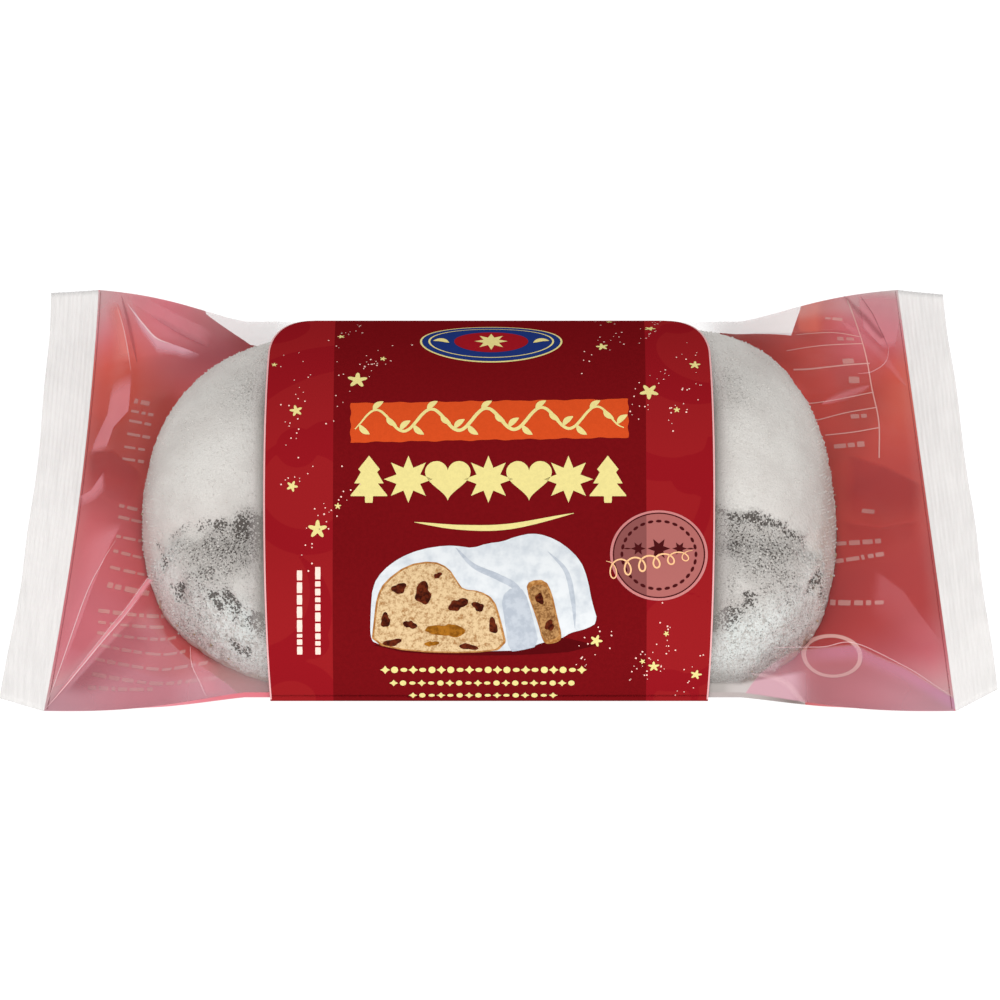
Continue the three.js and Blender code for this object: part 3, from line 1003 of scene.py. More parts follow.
class STOLLEN_OT_back_print(bpy.types.Operator):
    """Build the plain ruled lines, rows of dashes and ring printed on the lower film"""

    bl_idname = "stollen.back_print"
    bl_label = "Back Print"

    def execute(self, context):
        bm = bmesh.new()
        turn = np.linspace(0, TURN, 25)
        ring = np.stack((np.cos(turn), np.sin(turn)), -1) * RING_RADIUS / END_SCALE["right"] + RING_CENTRE
        for lift in (-0.1, 0.1):
            rng = np.random.default_rng(3)
            for points in RULED_LINES:
                self.add_line(bm, "right", points, 0.32, lift, 30, 0.85)
            self.add_line(bm, "right", ring, 1.1, lift, 90, 0.85)
            for side in SIDES:
                for row in DASH_ROWS[side]:
                    self.add_dashes(bm, rng, side, np.array(row[:2]), np.array(row[2:4]), row[4], lift)
        finish_piece(bm, "back_print", [streak_material("pale print", srgb(246, 186, 178), 0.35)])
        return {"FINISHED"}

    def add_line(self, bm, side, points, width, lift, steps, strength):
        surface = on_layer(film_base, side)
        add_ribbon(bm, surface, points, width, lift, 0, steps, END_SCALE[side], 2, strength, 0.02)

    def add_dashes(self, bm, rng, side, start, end, height, lift):
        """Dashes of uneven length between two places, with gaps between them."""
        total = np.linalg.norm((end - start) * END_SCALE[side])
        begun = 0.0
        while begun < total - 0.6:
            stop = min(total, begun + rng.uniform(0.6, 2.8))
            points = [lerp(start, end, begun / total), lerp(start, end, stop / total)]
            self.add_line(bm, side, points, height * rng.uniform(0.9, 1.3), lift, 3, 0.5)
            begun = stop + rng.uniform(0.35, 0.7)


# --- the loaf ---

LOAF_CENTRE_Y = -4.0
LOAF_CENTRE_Z = 12.0
LOAF_FLOOR = 0.5
LOAF_FRONT = -44.9
# (y, z, half width, rise) of the hump and of the folded lip in front of it.
LOAF_DOMES = ((5.0, 4.0, 37.1, 34.1), (-27.0, 2.0, 18.7, 23.2))
LOAF_FOOT = 7.0
# How the height, the hump's width and the lip's width fall to each end, as two powers each.
END_FALL = {
    "left": ((4.0, 2.72), (3.46, 2.61), (3.46, 2.05)),
    "right": ((6.79, 1.75), (5.53, 2.35), (5.59, 2.1)),
}

# Cracks in the crust seen from above: points (x, y), depth and width.
CRACKS = (
    (((-67.4, -15.8), (-63.3, -16.5), (-58.3, -17.7), (-54.1, -19.2), (-50.2, -19.5), (-44, -19.2)),
     0.8, 0.7),
    (((62.6, -18), (58.6, -18), (54.6, -18.2), (50.6, -18.8), (47.5, -19.4), (44, -17.6), (38, -17.4)),
     0.7, 0.6),
    (((-52.5, -19.8), (-50, -20.2), (-46.5, -19.6)), 1.0, 1.7),
    (((-55.5, -31.6), (-53.6, -33.9), (-50.8, -36.3), (-48.6, -37.6), (-40, -40)), 1.3, 0.75),
    (((51.2, -34.3), (50.8, -35.4), (49.4, -36.5), (47.5, -37.8), (44.7, -39.1), (36, -41)), 1.3, 0.75),
    (((-71.2, -13.8), (-69.1, -18.2), (-67.6, -20.5)), 0.7, 0.4),
    (((-66.8, -24.2), (-65.2, -26.6)), 0.7, 0.4),
    (((-59.1, -30), (-57.1, -33.1)), 0.5, 0.4),
    (((-54.3, -37.2), (-53.3, -38.2), (-51.1, -39.1)), 0.5, 0.4),
    (((61.4, -28.9), (62.8, -26.4), (65.4, -21.4)), 0.6, 0.4),
    (((68.3, -16.5), (66.4, -22), (65.4, -25.3), (64.7, -27.1)), 0.6, 0.5),
)
# Calm white patches in the crumbly front: x, y, radius.
CALM_PATCHES = (
    (-66, -23.8, 4), (-52.6, -31.2, 2.6), (45.5, -29, 3), (62, -25.2, 3.6), (49.4, -33.2, 2), (-47, -31, 3),
)


def inside_loaf(loaf, points):
    x, y, z = points.T
    right = x > loaf.middle / MM
    reach = np.clip(np.abs(x - loaf.middle / MM) * MM / loaf.half_length, 0, 0.99999)

    def left_over(part):
        """Share of the middle's height or width that is left so near to the end."""
        left_powers, right_powers = (np.array(END_FALL[side][part])[:, None] for side in SIDES)
        first, second = np.where(right, right_powers, left_powers)
        return (1 - reach ** first) ** (1 / second)

    high = z / left_over(0)
    inside = np.zeros(len(points), bool)
    for part, (dome_y, dome_z, half, rise) in enumerate(LOAF_DOMES, 1):
        wide = LOAF_CENTRE_Y + (y - LOAF_CENTRE_Y) / left_over(part)
        deep = np.where(high > dome_z, rise, LOAF_FOOT)
        inside |= ((wide - dome_y) / half) ** 2 + ((high - dome_z) / deep) ** 2 < 1
    return inside & (z > LOAF_FLOOR) & (y > LOAF_FRONT) & (reach < 0.99999)


def loaf_surface(loaf, directions):
    """Points of the loaf's smooth skin, in each direction from its centre."""
    centre = np.array((loaf.middle / MM, LOAF_CENTRE_Y, LOAF_CENTRE_Z))
    near = np.zeros(len(directions))
    far = np.full(len(directions), 95.0)
    for _ in range(26):
        middle = (near + far) / 2
        hit = inside_loaf(loaf, centre + directions * middle[:, None])
        near = np.where(hit, middle, near)
        far = np.where(hit, far, middle)
    return centre + directions * near[:, None]


def film_under(x, y):
    """Height of the lower film under the loaf, above the ground beyond both ends of the base."""
    rises = []
    for side in SIDES:
        line = seal_x(side, 1.2 * y)
        rises.append(ground_rise(side, (x - TUBE_END[side]) / (line - TUBE_END[side]), line))
    return SEAL_HEIGHT * np.maximum(*rises)


def noise_at(points, size, octaves, offset=0.0):
    """Signed noise at points in mm, with features of the given size."""
    shift = Vector((offset, 0, 0))
    return np.array([noise.fractal(Vector(point) / size + shift, 0.8, 2.0, octaves) for point in points])


def crack_closeness(points):
    """1 on the line of a crack and 0 away from it, and the depth that it cuts."""
    wobble = noise_at(points, 3.0, 2, 9.0)
    close = np.zeros(len(points))
    depth = np.zeros(len(points))
    for line, cut, width in CRACKS:
        line = np.array(line, float)
        gap = np.full(len(points), 99.0)
        for start, run in zip(line, np.diff(line, axis=0)):
            share = np.clip((points[:, :2] - start) @ run / (run @ run), 0, 1)
            gap = np.minimum(gap, np.linalg.norm(points[:, :2] - start - share[:, None] * run, axis=1))
        here = hill(gap + 1.1 * wobble, 0, width) * (points[:, 2] > 7)
        close = np.maximum(close, here)
        depth = np.maximum(depth, here * cut)
    return close, depth


class STOLLEN_OT_loaf(bpy.types.Operator):
    """Build the stollen: a high hump with a folded lip, under icing sugar"""

    bl_idname = "stollen.loaf"
    bl_label = "Loaf"

    def execute(self, context):
        loaf = context.scene.stollen_loaf
        bm = bmesh.new()
        bmesh.ops.create_cube(bm, size=2)
        bmesh.ops.subdivide_edges(bm, edges=bm.edges[:], cuts=loaf.cells - 1, use_grid_fill=True)
        corners = np.array([vert.co for vert in bm.verts])
        directions = np.tan(corners * 0.72) / math.tan(0.72)
        directions /= np.linalg.norm(directions, axis=1, keepdims=True)
        points = loaf_surface(loaf, directions)

        x, y, z = points.T
        lumps = noise_at(points, 14, 2)
        coarse = noise_at(points, 4.5, 3, 5.0)
        fine = noise_at(points, 1.5, 2, 2.0)
        away = np.abs(x + 2.2)
        crumbly = smooth(-y + 2.2 * coarse, 16.6, 19.4) * (z > 2)
        dense = hill(y, -23.5, 6.5) * (1 - 0.75 * smooth(away, 59, 68))
        calm = sum(np.exp(-((x - a) ** 2 + (y - b) ** 2) / r ** 2) for a, b, r in CALM_PATCHES)
        rough = crumbly * (0.36 + 0.64 * dense) * (1 - 0.7 * np.minimum(calm, 1))
        close, depth = crack_closeness(points)
        tan_rim = hill(z, 10, 7) * smooth(x, 61, 65.5) * smooth(y, -30, -24) * 0.3
        relief = 0.35 * lumps + (0.14 + 0.4 * crumbly) * coarse + (0.1 + 0.3 * crumbly) * fine
        relief -= depth + 0.3 * rough * np.abs(fine) - 0.6 * calm * crumbly - 0.7 * tan_rim * fine
        relief = np.minimum(relief, np.where(away < 46, 0.0, 0.5)) * (z > LOAF_FLOOR + 0.3)
        points = points + directions * relief[:, None]
        points[:, 2] = np.maximum(points[:, 2], LOAF_FLOOR + 1.15 * film_under(points[:, 0], points[:, 1]))

        values = {
            "rough": np.clip(rough + 0.4 * hill(y, 8, 7) * hill(away, 49, 6), 0, 1),
            # dots marks the lower lip: painted light whitens the sugar there, and soft grey dots lie on it.
            "dots": crumbly * smooth(z, 20, 14) * (1 - dense),
            "crack": close,
            "foot": np.clip(smooth(z + 1.2 * coarse, 3.2, 0.8) + tan_rim, 0, 1),
        }
        layers = {name: bm.verts.layers.float.new(name) for name in values}
        for index, vert in enumerate(bm.verts):
            vert.co = points[index] * MM
            for name, layer in layers.items():
                vert[layer] = values[name][index]
        for face in bm.faces:
            face.smooth = True
        finish_piece(bm, "loaf", [sugar_material(loaf)], outward=True)
        return {"FINISHED"}


def sugar_material(loaf):
    """Icing sugar over a baked crust: clear white above, crumbly and pitted below, tan at the foot. The
    lower lip is whitened as painted light, and the pits and cracks are darkened as painted shade.
    """
    graph = material_graph("icing sugar")
    rough, crack, foot, dots = (graph.mask(name) for name in ("rough", "crack", "foot", "dots"))
    patch = graph.noise(260.0, 3.0, 0.6)
    lumps = graph.noise(620.0, 3.0, 0.6)
    grit = graph.noise(2000.0, 3.0, 0.65)
    wander = graph.noise(2300.0, 2.0, 0.5, output="Color")
    warped = graph.add(
        "ShaderNodeVectorMath", {0: wander, 1: (0.0009,) * 3, 2: graph.place()}, operation="MULTIPLY_ADD"
    ).outputs[0]
    cells = graph.add("ShaderNodeTexVoronoi", {"Scale": 1900.0, "Vector": warped}).outputs["Distance"]
    spots = graph.noise(950.0, 2.0, 0.5, vector=warped)
    shade = graph.mix(graph.step(graph.noise(70.0, 4.0, 0.6), 0.3, 0.65), loaf.shade, loaf.sugar)
    dust = graph.step(graph.noise(3600.0, 2.0, 0.6), 0.42, 0.66)
    shade = graph.mix(graph.times(dust, 0.6), shade, loaf.shade)
    # Painted light: the lower lip, where dots is high, is whitened as if more light fell on it.
    shade = graph.mix(graph.times(dots, 0.85), shade, srgb(240, 246, 243))
    bare = graph.times(rough, graph.plus(graph.step(grit, 0.4, 0.62), 0.25))
    bare = graph.times(bare, graph.step(patch, 0.25, 0.6))
    shade = graph.mix(graph.times(bare, 0.5, clamp=True), shade, loaf.thin)
    uneven = graph.plus(graph.times(graph.minus(patch, 0.5), 0.6), 0.41)
    spread = graph.math("POWER", rough, 0.6)
    density = graph.plus(graph.times(spread, uneven), graph.times(crack, 0.45))
    density = graph.plus(density, graph.times(graph.minus(grit, 0.5), 0.6))
    hole = graph.step(graph.minus(density, cells), -0.04, 0.08)
    hole = graph.times(hole, graph.plus(spread, crack, clamp=True))
    soft = graph.times(graph.step(spots, 0.52, 0.66), dots)
    shade = graph.mix(graph.times(soft, 0.6), shade, loaf.thin)
    # Painted shade: pits and cracks take the near-black speck colour of crust in shadow.
    shade = graph.mix(graph.times(hole, 0.85), shade, loaf.speck)
    baked = graph.times(foot, graph.step(lumps, 0.4, 0.58))
    shade = graph.mix(graph.times(baked, 0.75), shade, loaf.crust)
    rise = graph.times(lumps, graph.plus(graph.times(rough, 1.4), 0.2))
    crumbs = graph.times(grit, graph.plus(graph.times(rough, 1.2), 0.4))
    normal = graph.bump(graph.minus(graph.plus(rise, crumbs), hole), 0.85, 0.0009)
    return graph.finish(graph.body(shade, 0.85, 0.2, normal))


def crumb_material(loaf):
    graph = material_graph("baked crumb")
    grain = graph.effect("Fine grain", Size=0.8)
    shade = graph.mix(graph.step(grain["Value"], 0.35, 0.65), dimmed(loaf.crust, 0.5), loaf.crust)
    return graph.finish(graph.body(shade, 0.8, 0.2, graph.bump(grain["Height"], 0.5, 0.0004)))


def grain_material(loaf):
    graph = material_graph("sugar grain")
    shade = graph.mix(graph.noise(700.0, 2.0, 0.5), loaf.shade, loaf.sugar)
    return graph.finish(graph.body(shade, 0.7, 0.3))


class STOLLEN_OT_loose_sugar(bpy.types.Operator):
    """Scatter sugar grains over the loaf and crumbs round its foot"""

    bl_idname = "stollen.loose_sugar"
    bl_label = "Loose Sugar"

    def execute(self, context):
        loaf = context.scene.stollen_loaf
        rng = np.random.default_rng(loaf.seed)
        skin = bpy.data.objects["loaf"].data
        points = np.array([vert.co for vert in skin.vertices])
        normals = np.array([vert.normal for vert in skin.vertices])
        rough = np.array([item.value for item in skin.attributes["rough"].data])
        shown = (np.abs(points[:, 0] + 0.0023) > 0.04) & (points[:, 2] > 0.003)
        weight = shown * (0.2 + 0.9 * rough + 0.4 * (normals[:, 2] < 0.35))
        chosen = rng.choice(len(points), loaf.grains, p=weight / weight.sum())
        bm = bmesh.new()
        for batch in np.array_split(chosen, 20):
            handful = bmesh.new()
            for index in batch:
                size = rng.uniform(0.0001, 0.00022) + 0.00006 * rough[index] * rng.random()
                self.add_bit(handful, rng, points[index] + normals[index] * size * 0.3, size, 0, 1)
            mesh = bpy.data.meshes.new("handful")
            handful.to_mesh(mesh)
            handful.free()
            bm.from_mesh(mesh)
            bpy.data.meshes.remove(mesh)
        sugar = grain_material(loaf)
        finish_piece(bm, "sugar_grains", [sugar], outward=True)

        low = (points[:, 2] < 0.006) & (points[:, 2] > 0.0012) & (np.abs(points[:, 0]) > 0.035)
        bm = bmesh.new()
        for index in rng.choice(np.flatnonzero(low), loaf.crumbs):
            size = rng.uniform(0.00014, 0.00034)
            spot = points[index] + normals[index] * rng.uniform(0, 0.0003)
            spot[2] = max(spot[2], 0.0005 + size * 0.6)
            self.add_bit(bm, rng, spot, size, int(rng.random() < 0.7), 2)
        finish_piece(bm, "crumbs", [sugar, crumb_material(loaf)], outward=True)
        return {"FINISHED"}

    def add_bit(self, bm, rng, spot, size, material, fineness):
        turn = Matrix.Rotation(rng.uniform(0, TURN), 4, Vector(rng.normal(size=3)).normalized())
        place = Matrix.Translation(spot) @ turn @ Matrix.Diagonal((*rng.uniform(0.6, 1.25, 3), 1))
        made = bmesh.ops.create_icosphere(bm, subdivisions=fineness, radius=size, matrix=place)["verts"]
        for vert in made:
            vert.co += Vector(rng.normal(size=3)) * size * 0.09
        for face in {face for vert in made for face in vert.link_faces}:
            face.material_index = material


# --- the label ---


def label_edge_x(s, left):
    """Where the label's side lies at a distance from its front end."""
    width, reach, roundness = LABEL_CORNER
    rise = np.clip(1 - (LABEL_LENGTH - s) / reach, 0, 1)
    corner = width * (1 - (1 - rise ** roundness) ** (1 / roundness))
    inset = corner - LABEL_BULGE * np.sin(math.pi * np.clip(s / LABEL_LENGTH, 0, 1))
    return np.where(left, LABEL_LEFT + inset, LABEL_RIGHT - inset)


def print_material(name, shade, other=None, size=0.9, spread=(0.4, 0.6)):
    """Matt ink, plain or mottled with a second colour."""
    graph = material_graph(name)
    speckle = graph.step(graph.effect("Fine grain", Size=size)["Value"], *spread)
    return graph.finish(graph.body(graph.mix(speckle, other or dimmed(shade, 0.94), shade)))


def medal_material(label):
    """The round seal lets the dark middle and the bright band show through."""
    graph = material_graph("seal pink")
    band = graph.math("GREATER_THAN", graph.pack_x(), BAND_RIGHT * MM)
    return graph.finish(graph.body(graph.mix(band, label.medal_deep, label.medal)))


def label_material(label):
    """Dark red middle and bright red bands with tone-on-tone swirls."""
    graph = material_graph("label print")
    left = graph.math("LESS_THAN", graph.pack_x(), BAND_LEFT * MM)
    right = graph.math("GREATER_THAN", graph.pack_x(), BAND_RIGHT * MM)
    speckle = graph.step(graph.effect("Fine grain", Size=0.7)["Value"], 0.38, 0.62)
    middle = graph.mix(speckle, dimmed(label.centre, 0.94), dimmed(label.centre, 1.06))
    sides = graph.mix(graph.step(graph.mask("swirl"), -0.12, 0.12), label.band, label.swirl)
    normal = graph.bump(graph.noise(22.0, 2.0, 0.5), 0.15, 0.001)
    shade = graph.mix(graph.math("MAXIMUM", left, right), middle, sides)
    return graph.finish(graph.body(shade, normal=normal))


# Swirls of the bands, made of discs (x, distance from the front end, radius): a disc and the
# disc cut out of it, which lies elsewhere where the first one is whole.
SWIRLS = (
    ((-28, 50, 34), (-25, 44, 32)), ((-41.2, 56.2, 4.3), (0, 0, 1)), ((-34.5, 56, 6.2), (-38.8, 46.5, 8.2)),
    ((-39, 46, 12.6), (-39.6, 47.8, 9.0)), ((-47, 22, 13), (-50, 26, 11.5)), ((-38.2, 15.5, 3.6), (0, 0, 1)),
    ((-41.5, 3, 8.5), (-42.5, 1.5, 5.0)), ((-48, 93, 9), (-50, 95, 6.5)),
    ((40, 80, 14), (43.5, 83, 11.5)), ((33, 63, 14), (35.2, 66.2, 12.2)), ((38.8, 50.4, 4.2), (0, 0, 1)),
    ((42.5, 52, 6.5), (36.6, 58.5, 5.5)), ((27, 45, 16), (25, 48, 16)), ((35, 15, 11.5), (36.8, 17, 8.6)),
    ((34, 3, 6.5), (35, 1.5, 3.8)), ((36.5, 92.5, 3.6), (0, 0, 1)),
)


def swirl_depth(x, s):
    """How deep a place lies inside a swirl, below zero outside."""
    depth = np.full(np.shape(x), -9.0)
    for (x1, s1, r1), (x2, s2, r2) in SWIRLS:
        within = np.minimum(r1 - np.hypot(x - x1, s - s1), np.hypot(x - x2, s - s2) - r2)
        depth = np.maximum(depth, within)
    return depth


class STOLLEN_OT_label(bpy.types.Operator):
    """Build the printed label with its pale rim"""

    bl_idname = "stollen.label"
    bl_label = "Label"

    def execute(self, context):
        label = context.scene.stollen_label
        bm = bmesh.new()
        add_grid(
            bm, 150, 190, lambda u, v: on_label(np.stack(self.spot(u, v), -1), 0),
            masks=lambda u, v: {"swirl": swirl_depth(*self.spot(u, v))},
        )
        bmesh.ops.solidify(bm, geom=bm.faces[:], thickness=0.00015)
        finish_piece(bm, "label_sheet", [label_material(label)], "label", outward=True)

        width, lift = 0.32, 0.03
        bm = bmesh.new()
        for inward in (1, -1):
            def rim(u, v):
                s = v * LABEL_LENGTH
                return on_label(np.stack((label_edge_x(s, inward > 0) + inward * width * u, s), -1), lift)

            add_grid(bm, 1, 240, rim)

        def back_rim(u, v):
            x = lerp(LABEL_LEFT + LABEL_CORNER[0], LABEL_RIGHT - LABEL_CORNER[0], u)
            return on_label(np.stack((x, LABEL_LENGTH - width * v), -1), lift)

        add_grid(bm, 40, 1, back_rim)
        finish_piece(bm, "label_rim", [print_material("pale rim", label.edge)])
        return {"FINISHED"}

    def spot(self, u, v):
        s = v * LABEL_LENGTH
        return lerp(label_edge_x(s, True), label_edge_x(s, False), u), s


# Stars of the label: x, distance from its front end, radius.
STARS = (
    (-29.1, 72.2, 2.1), (-37.0, 38.8, 2.0), (30.4, 69.1, 2.0),
    (-41.5, 64.4, 1.35), (-42.2, 47.9, 1.2), (20.9, 82.9, 1.3), (30.8, 91.6, 1.2), (39.8, 76.6, 1.2),
    (19.5, 16.0, 1.3), (31.2, 10.2, 1.2), (39.8, 8.2, 1.2),
    (-32.6, 87.2, 0.8), (-46.1, 76.7, 0.6), (-32.9, 43.7, 0.7), (-23.9, 78.6, 0.7), (22.5, 97.0, 0.7),
    (36.0, 64.6, 0.7), (33.7, 17.5, 0.6), (28.9, 11.4, 0.6),
)


class STOLLEN_OT_label_stars(bpy.types.Operator):
    """Build the printed stars, their trailing dots and two rows of dashes"""

    bl_idname = "stollen.label_stars"
    bl_label = "Label Stars"

    def execute(self, context):
        label = context.scene.stollen_label
        rng = np.random.default_rng(11)
        bm = bmesh.new()
        for x, s, radius in STARS:
            add_patch(bm, (x, s), plump_star(radius, rng.uniform(0, 2)), 0.08, rings=1, segments=50)
            slant = rng.uniform(0.6, 1.6)
            for _ in range(int(7 + radius * 9)):
                run = rng.normal() * (2.2 + radius * 1.8)
                away = (run * math.cos(slant), run * math.sin(slant)) + rng.normal(size=2) * 1.3
                dot = away + (x, s)
                inside = LABEL_LEFT + 1 < dot[0] < LABEL_RIGHT - 1 and 2 < dot[1] < LABEL_LENGTH - 1
                if inside and np.hypot(*away) > radius + 0.3:
                    size = rng.uniform(0.09, 0.2)
                    add_patch(bm, dot, ellipse(size, size), 0.08, 1, rings=1, segments=6)
        for x in (-40.6, -36.9):
            s = 13.0
            while s < 30.5:
                run = rng.uniform(0.7, 2.6)
                add_ribbon(bm, on_label, ((x, s), (x, s + run)), 1.1, 0.08, 1, 2, taper=0.02)
                s += run + 0.4
        materials = [print_material("cream ink", label.cream), print_material("dot ink", label.dot)]
        finish_piece(bm, "label_stars", materials)
        return {"FINISHED"}


# Right half of a fir tree, from its tip to its foot.
TREE = ((0, 5), (2.2, 2.1), (1.3, 2.1), (3.0, -0.9), (1.8, -0.9), (3.9, -3.6), (0.8, -3.6), (0.8, -5))


def heart_corner(turn):
    waves = 13 * math.cos(turn) - 5 * math.cos(2 * turn) - 2 * math.cos(3 * turn) - math.cos(4 * turn)
    return 0.29 * 16 * math.sin(turn) ** 3, 0.29 * waves + 0.4


def vine(x):
    """Height of the winding stem on the strip."""
    return 62.0 + 0.018 * (x + 28) + 2.5 * np.sin((x + 28) * 0.56)


class STOLLEN_OT_label_title(bpy.types.Operator):
    """Build the brushed strip, the ornament under it and the curved line"""

    bl_idname = "stollen.label_title"
    bl_label = "Label Ornament"

    def execute(self, context):
        label = context.scene.stollen_label
        cream = print_material("title cream", label.cream)

        def strip(u, v):
            edge = 0.1 * np.sin(u * 47) + 0.06 * np.sin(u * 101 + 2)
            x = lerp(-30.4, 26.1, u) + 0.12 * np.sin(v * 19)
            return on_label(np.stack((x, lerp(57.2, 66.2, v) + 1.1 * u + edge * (2 * v - 1)), -1), 0.05)

        bm = bmesh.new()
        add_grid(bm, 120, 24, strip)
        finish_piece(bm, "label_strip", [print_material("flat orange", label.orange)])

        bm = bmesh.new()
        stem = [(x, vine(x)) for x in np.linspace(-29.5, 25.2, 45)]
        add_ribbon(bm, on_label, stem, 0.75, 0.11, 0, 220, taper=0.3)
        for step in range(20):
            x = -28.6 + step * 2.76
            up = 1 if step % 2 else -1
            leaf = [(x, vine(x)), (x + 0.8, vine(x) + up * 1.3), (x + 2.1, vine(x) + up * 2.2)]
            add_ribbon(bm, on_label, leaf, 1.25, 0.13, 0, 14, taper=0.8)
        finish_piece(bm, "label_vine", [cream])

        bm = bmesh.new()
        tree = polygon(TREE + tuple((-x, s) for x, s in TREE[:0:-1]))
        heart = polygon([heart_corner(turn) for turn in np.linspace(0, TURN, 48, endpoint=False)])
        figures = (
            (tree, 180, (-26.6, 21.9)),
            (heart, 120, (-10.6, 5.9)),
            (star(5, 8, 0.52), 16, (-18.6, -2.35, 13.9)),
        )
        for shape, segments, places in figures:
            for x in places:
                add_patch(bm, (x, 49.4), shape, 0.08, rings=4, segments=segments)
        swoosh = ((-17.4, 40.3), (-8, 39.2), (2, 39.4), (15, 42.2))
        add_ribbon(bm, on_label, swoosh, 1.25, 0.08, 0, 60, taper=0.7)
        for s, half, size in ((9.4, 20.6, 1.0), (6.0, 18.9, 0.9), (2.4, 15.0, 0.9)):
            for step, x in enumerate(np.arange(-half, half + 0.1, 1.9) - 2.7):
                shape, segments = star(size, 4, 0.55), 8
                if step % 3:
                    shape, segments = ellipse(size * 0.72, size * (0.5 + 0.3 * (step % 2))), 16
                add_patch(bm, (x, s), shape, 0.08, rings=1, segments=segments)
        finish_piece(bm, "label_ornament", [cream])
        return {"FINISHED"}


# Outlines of the printed picture: centre and corners, as (x, distance from the front end).
PICTURED = {
    "coat": ((-3, 25), (
        (-26.3, 16.5), (-26.2, 22), (-25.8, 27.2), (-23.8, 30.2), (-20.4, 32.8), (-16, 34.6), (-11, 35.4),
        (-8, 35.2), (-5.6, 34.8), (-2.6, 35.8), (0.6, 36.2), (3, 37.2), (6.5, 38), (9.6, 37.4), (13, 35.6),
        (16.4, 32.2), (17.8, 28.4), (18.6, 24), (19.9, 19.9), (17.4, 18.4), (14.4, 17.8), (12.4, 16.4),
        (9, 15.8), (4.6, 13.9), (0, 13.8), (-6, 13.7), (-16, 14.1), (-25.2, 15.2),
    )),
    "side": ((3.4, 20), (
        (0.2, 25), (2.6, 27), (5.0, 26.4), (6.6, 21), (8.0, 14.9), (4.2, 13.9), (1.8, 13.6), (1.0, 20),
    )),
    "face": ((-13.6, 21.5), (
        (-26.1, 15.4), (-25.6, 20), (-25.0, 25), (-23.4, 28), (-18.8, 31.4), (-13.6, 32.2), (-10.4, 30.8),
        (-8.6, 28), (-7.4, 26.4), (-4.2, 26.2), (-1.2, 24.6), (0.2, 20.4), (1.6, 14.2), (-6, 13.3),
        (-18, 13.6),
    )),
    "gap": ((8.8, 21.5), (
        (5.2, 26.6), (6.0, 28.2), (9.2, 28.4), (10.6, 25.6), (11.6, 21), (12.6, 17), (12, 15.8), (9.6, 15.2),
        (8.6, 16), (7.6, 20),
    )),
}
# Fruit on the cut face: centre, half sizes and turn.
FRUITS = (
    (-20.4, 26.6, 1.5, 1.0, 0.3), (-15.6, 25.6, 1.5, 2.3, 0.1), (-8.6, 23.4, 2.2, 1.0, 0.4),
    (-23.2, 20.2, 0.9, 1.5, 0.0), (-4.4, 23.0, 1.3, 0.8, 2.6), (-18.2, 19.4, 1.5, 0.7, 2.9),
    (-1.4, 19.0, 0.8, 1.7, 0.2), (-21.8, 15.6, 1.9, 0.7, 0.2), (-6.6, 14.8, 2.0, 0.6, 3.0),
    (8.0, 24.6, 0.8, 1.1, 0.4), (10.0, 19.2, 0.9, 1.1, 0.0), (-12.6, 29.2, 0.9, 0.5, 0.5),
)
PEEL = ((-10.4, 18.2, 4.2, 1.2, -0.05), (-14.0, 15.4, 1.6, 0.5, 0.1))


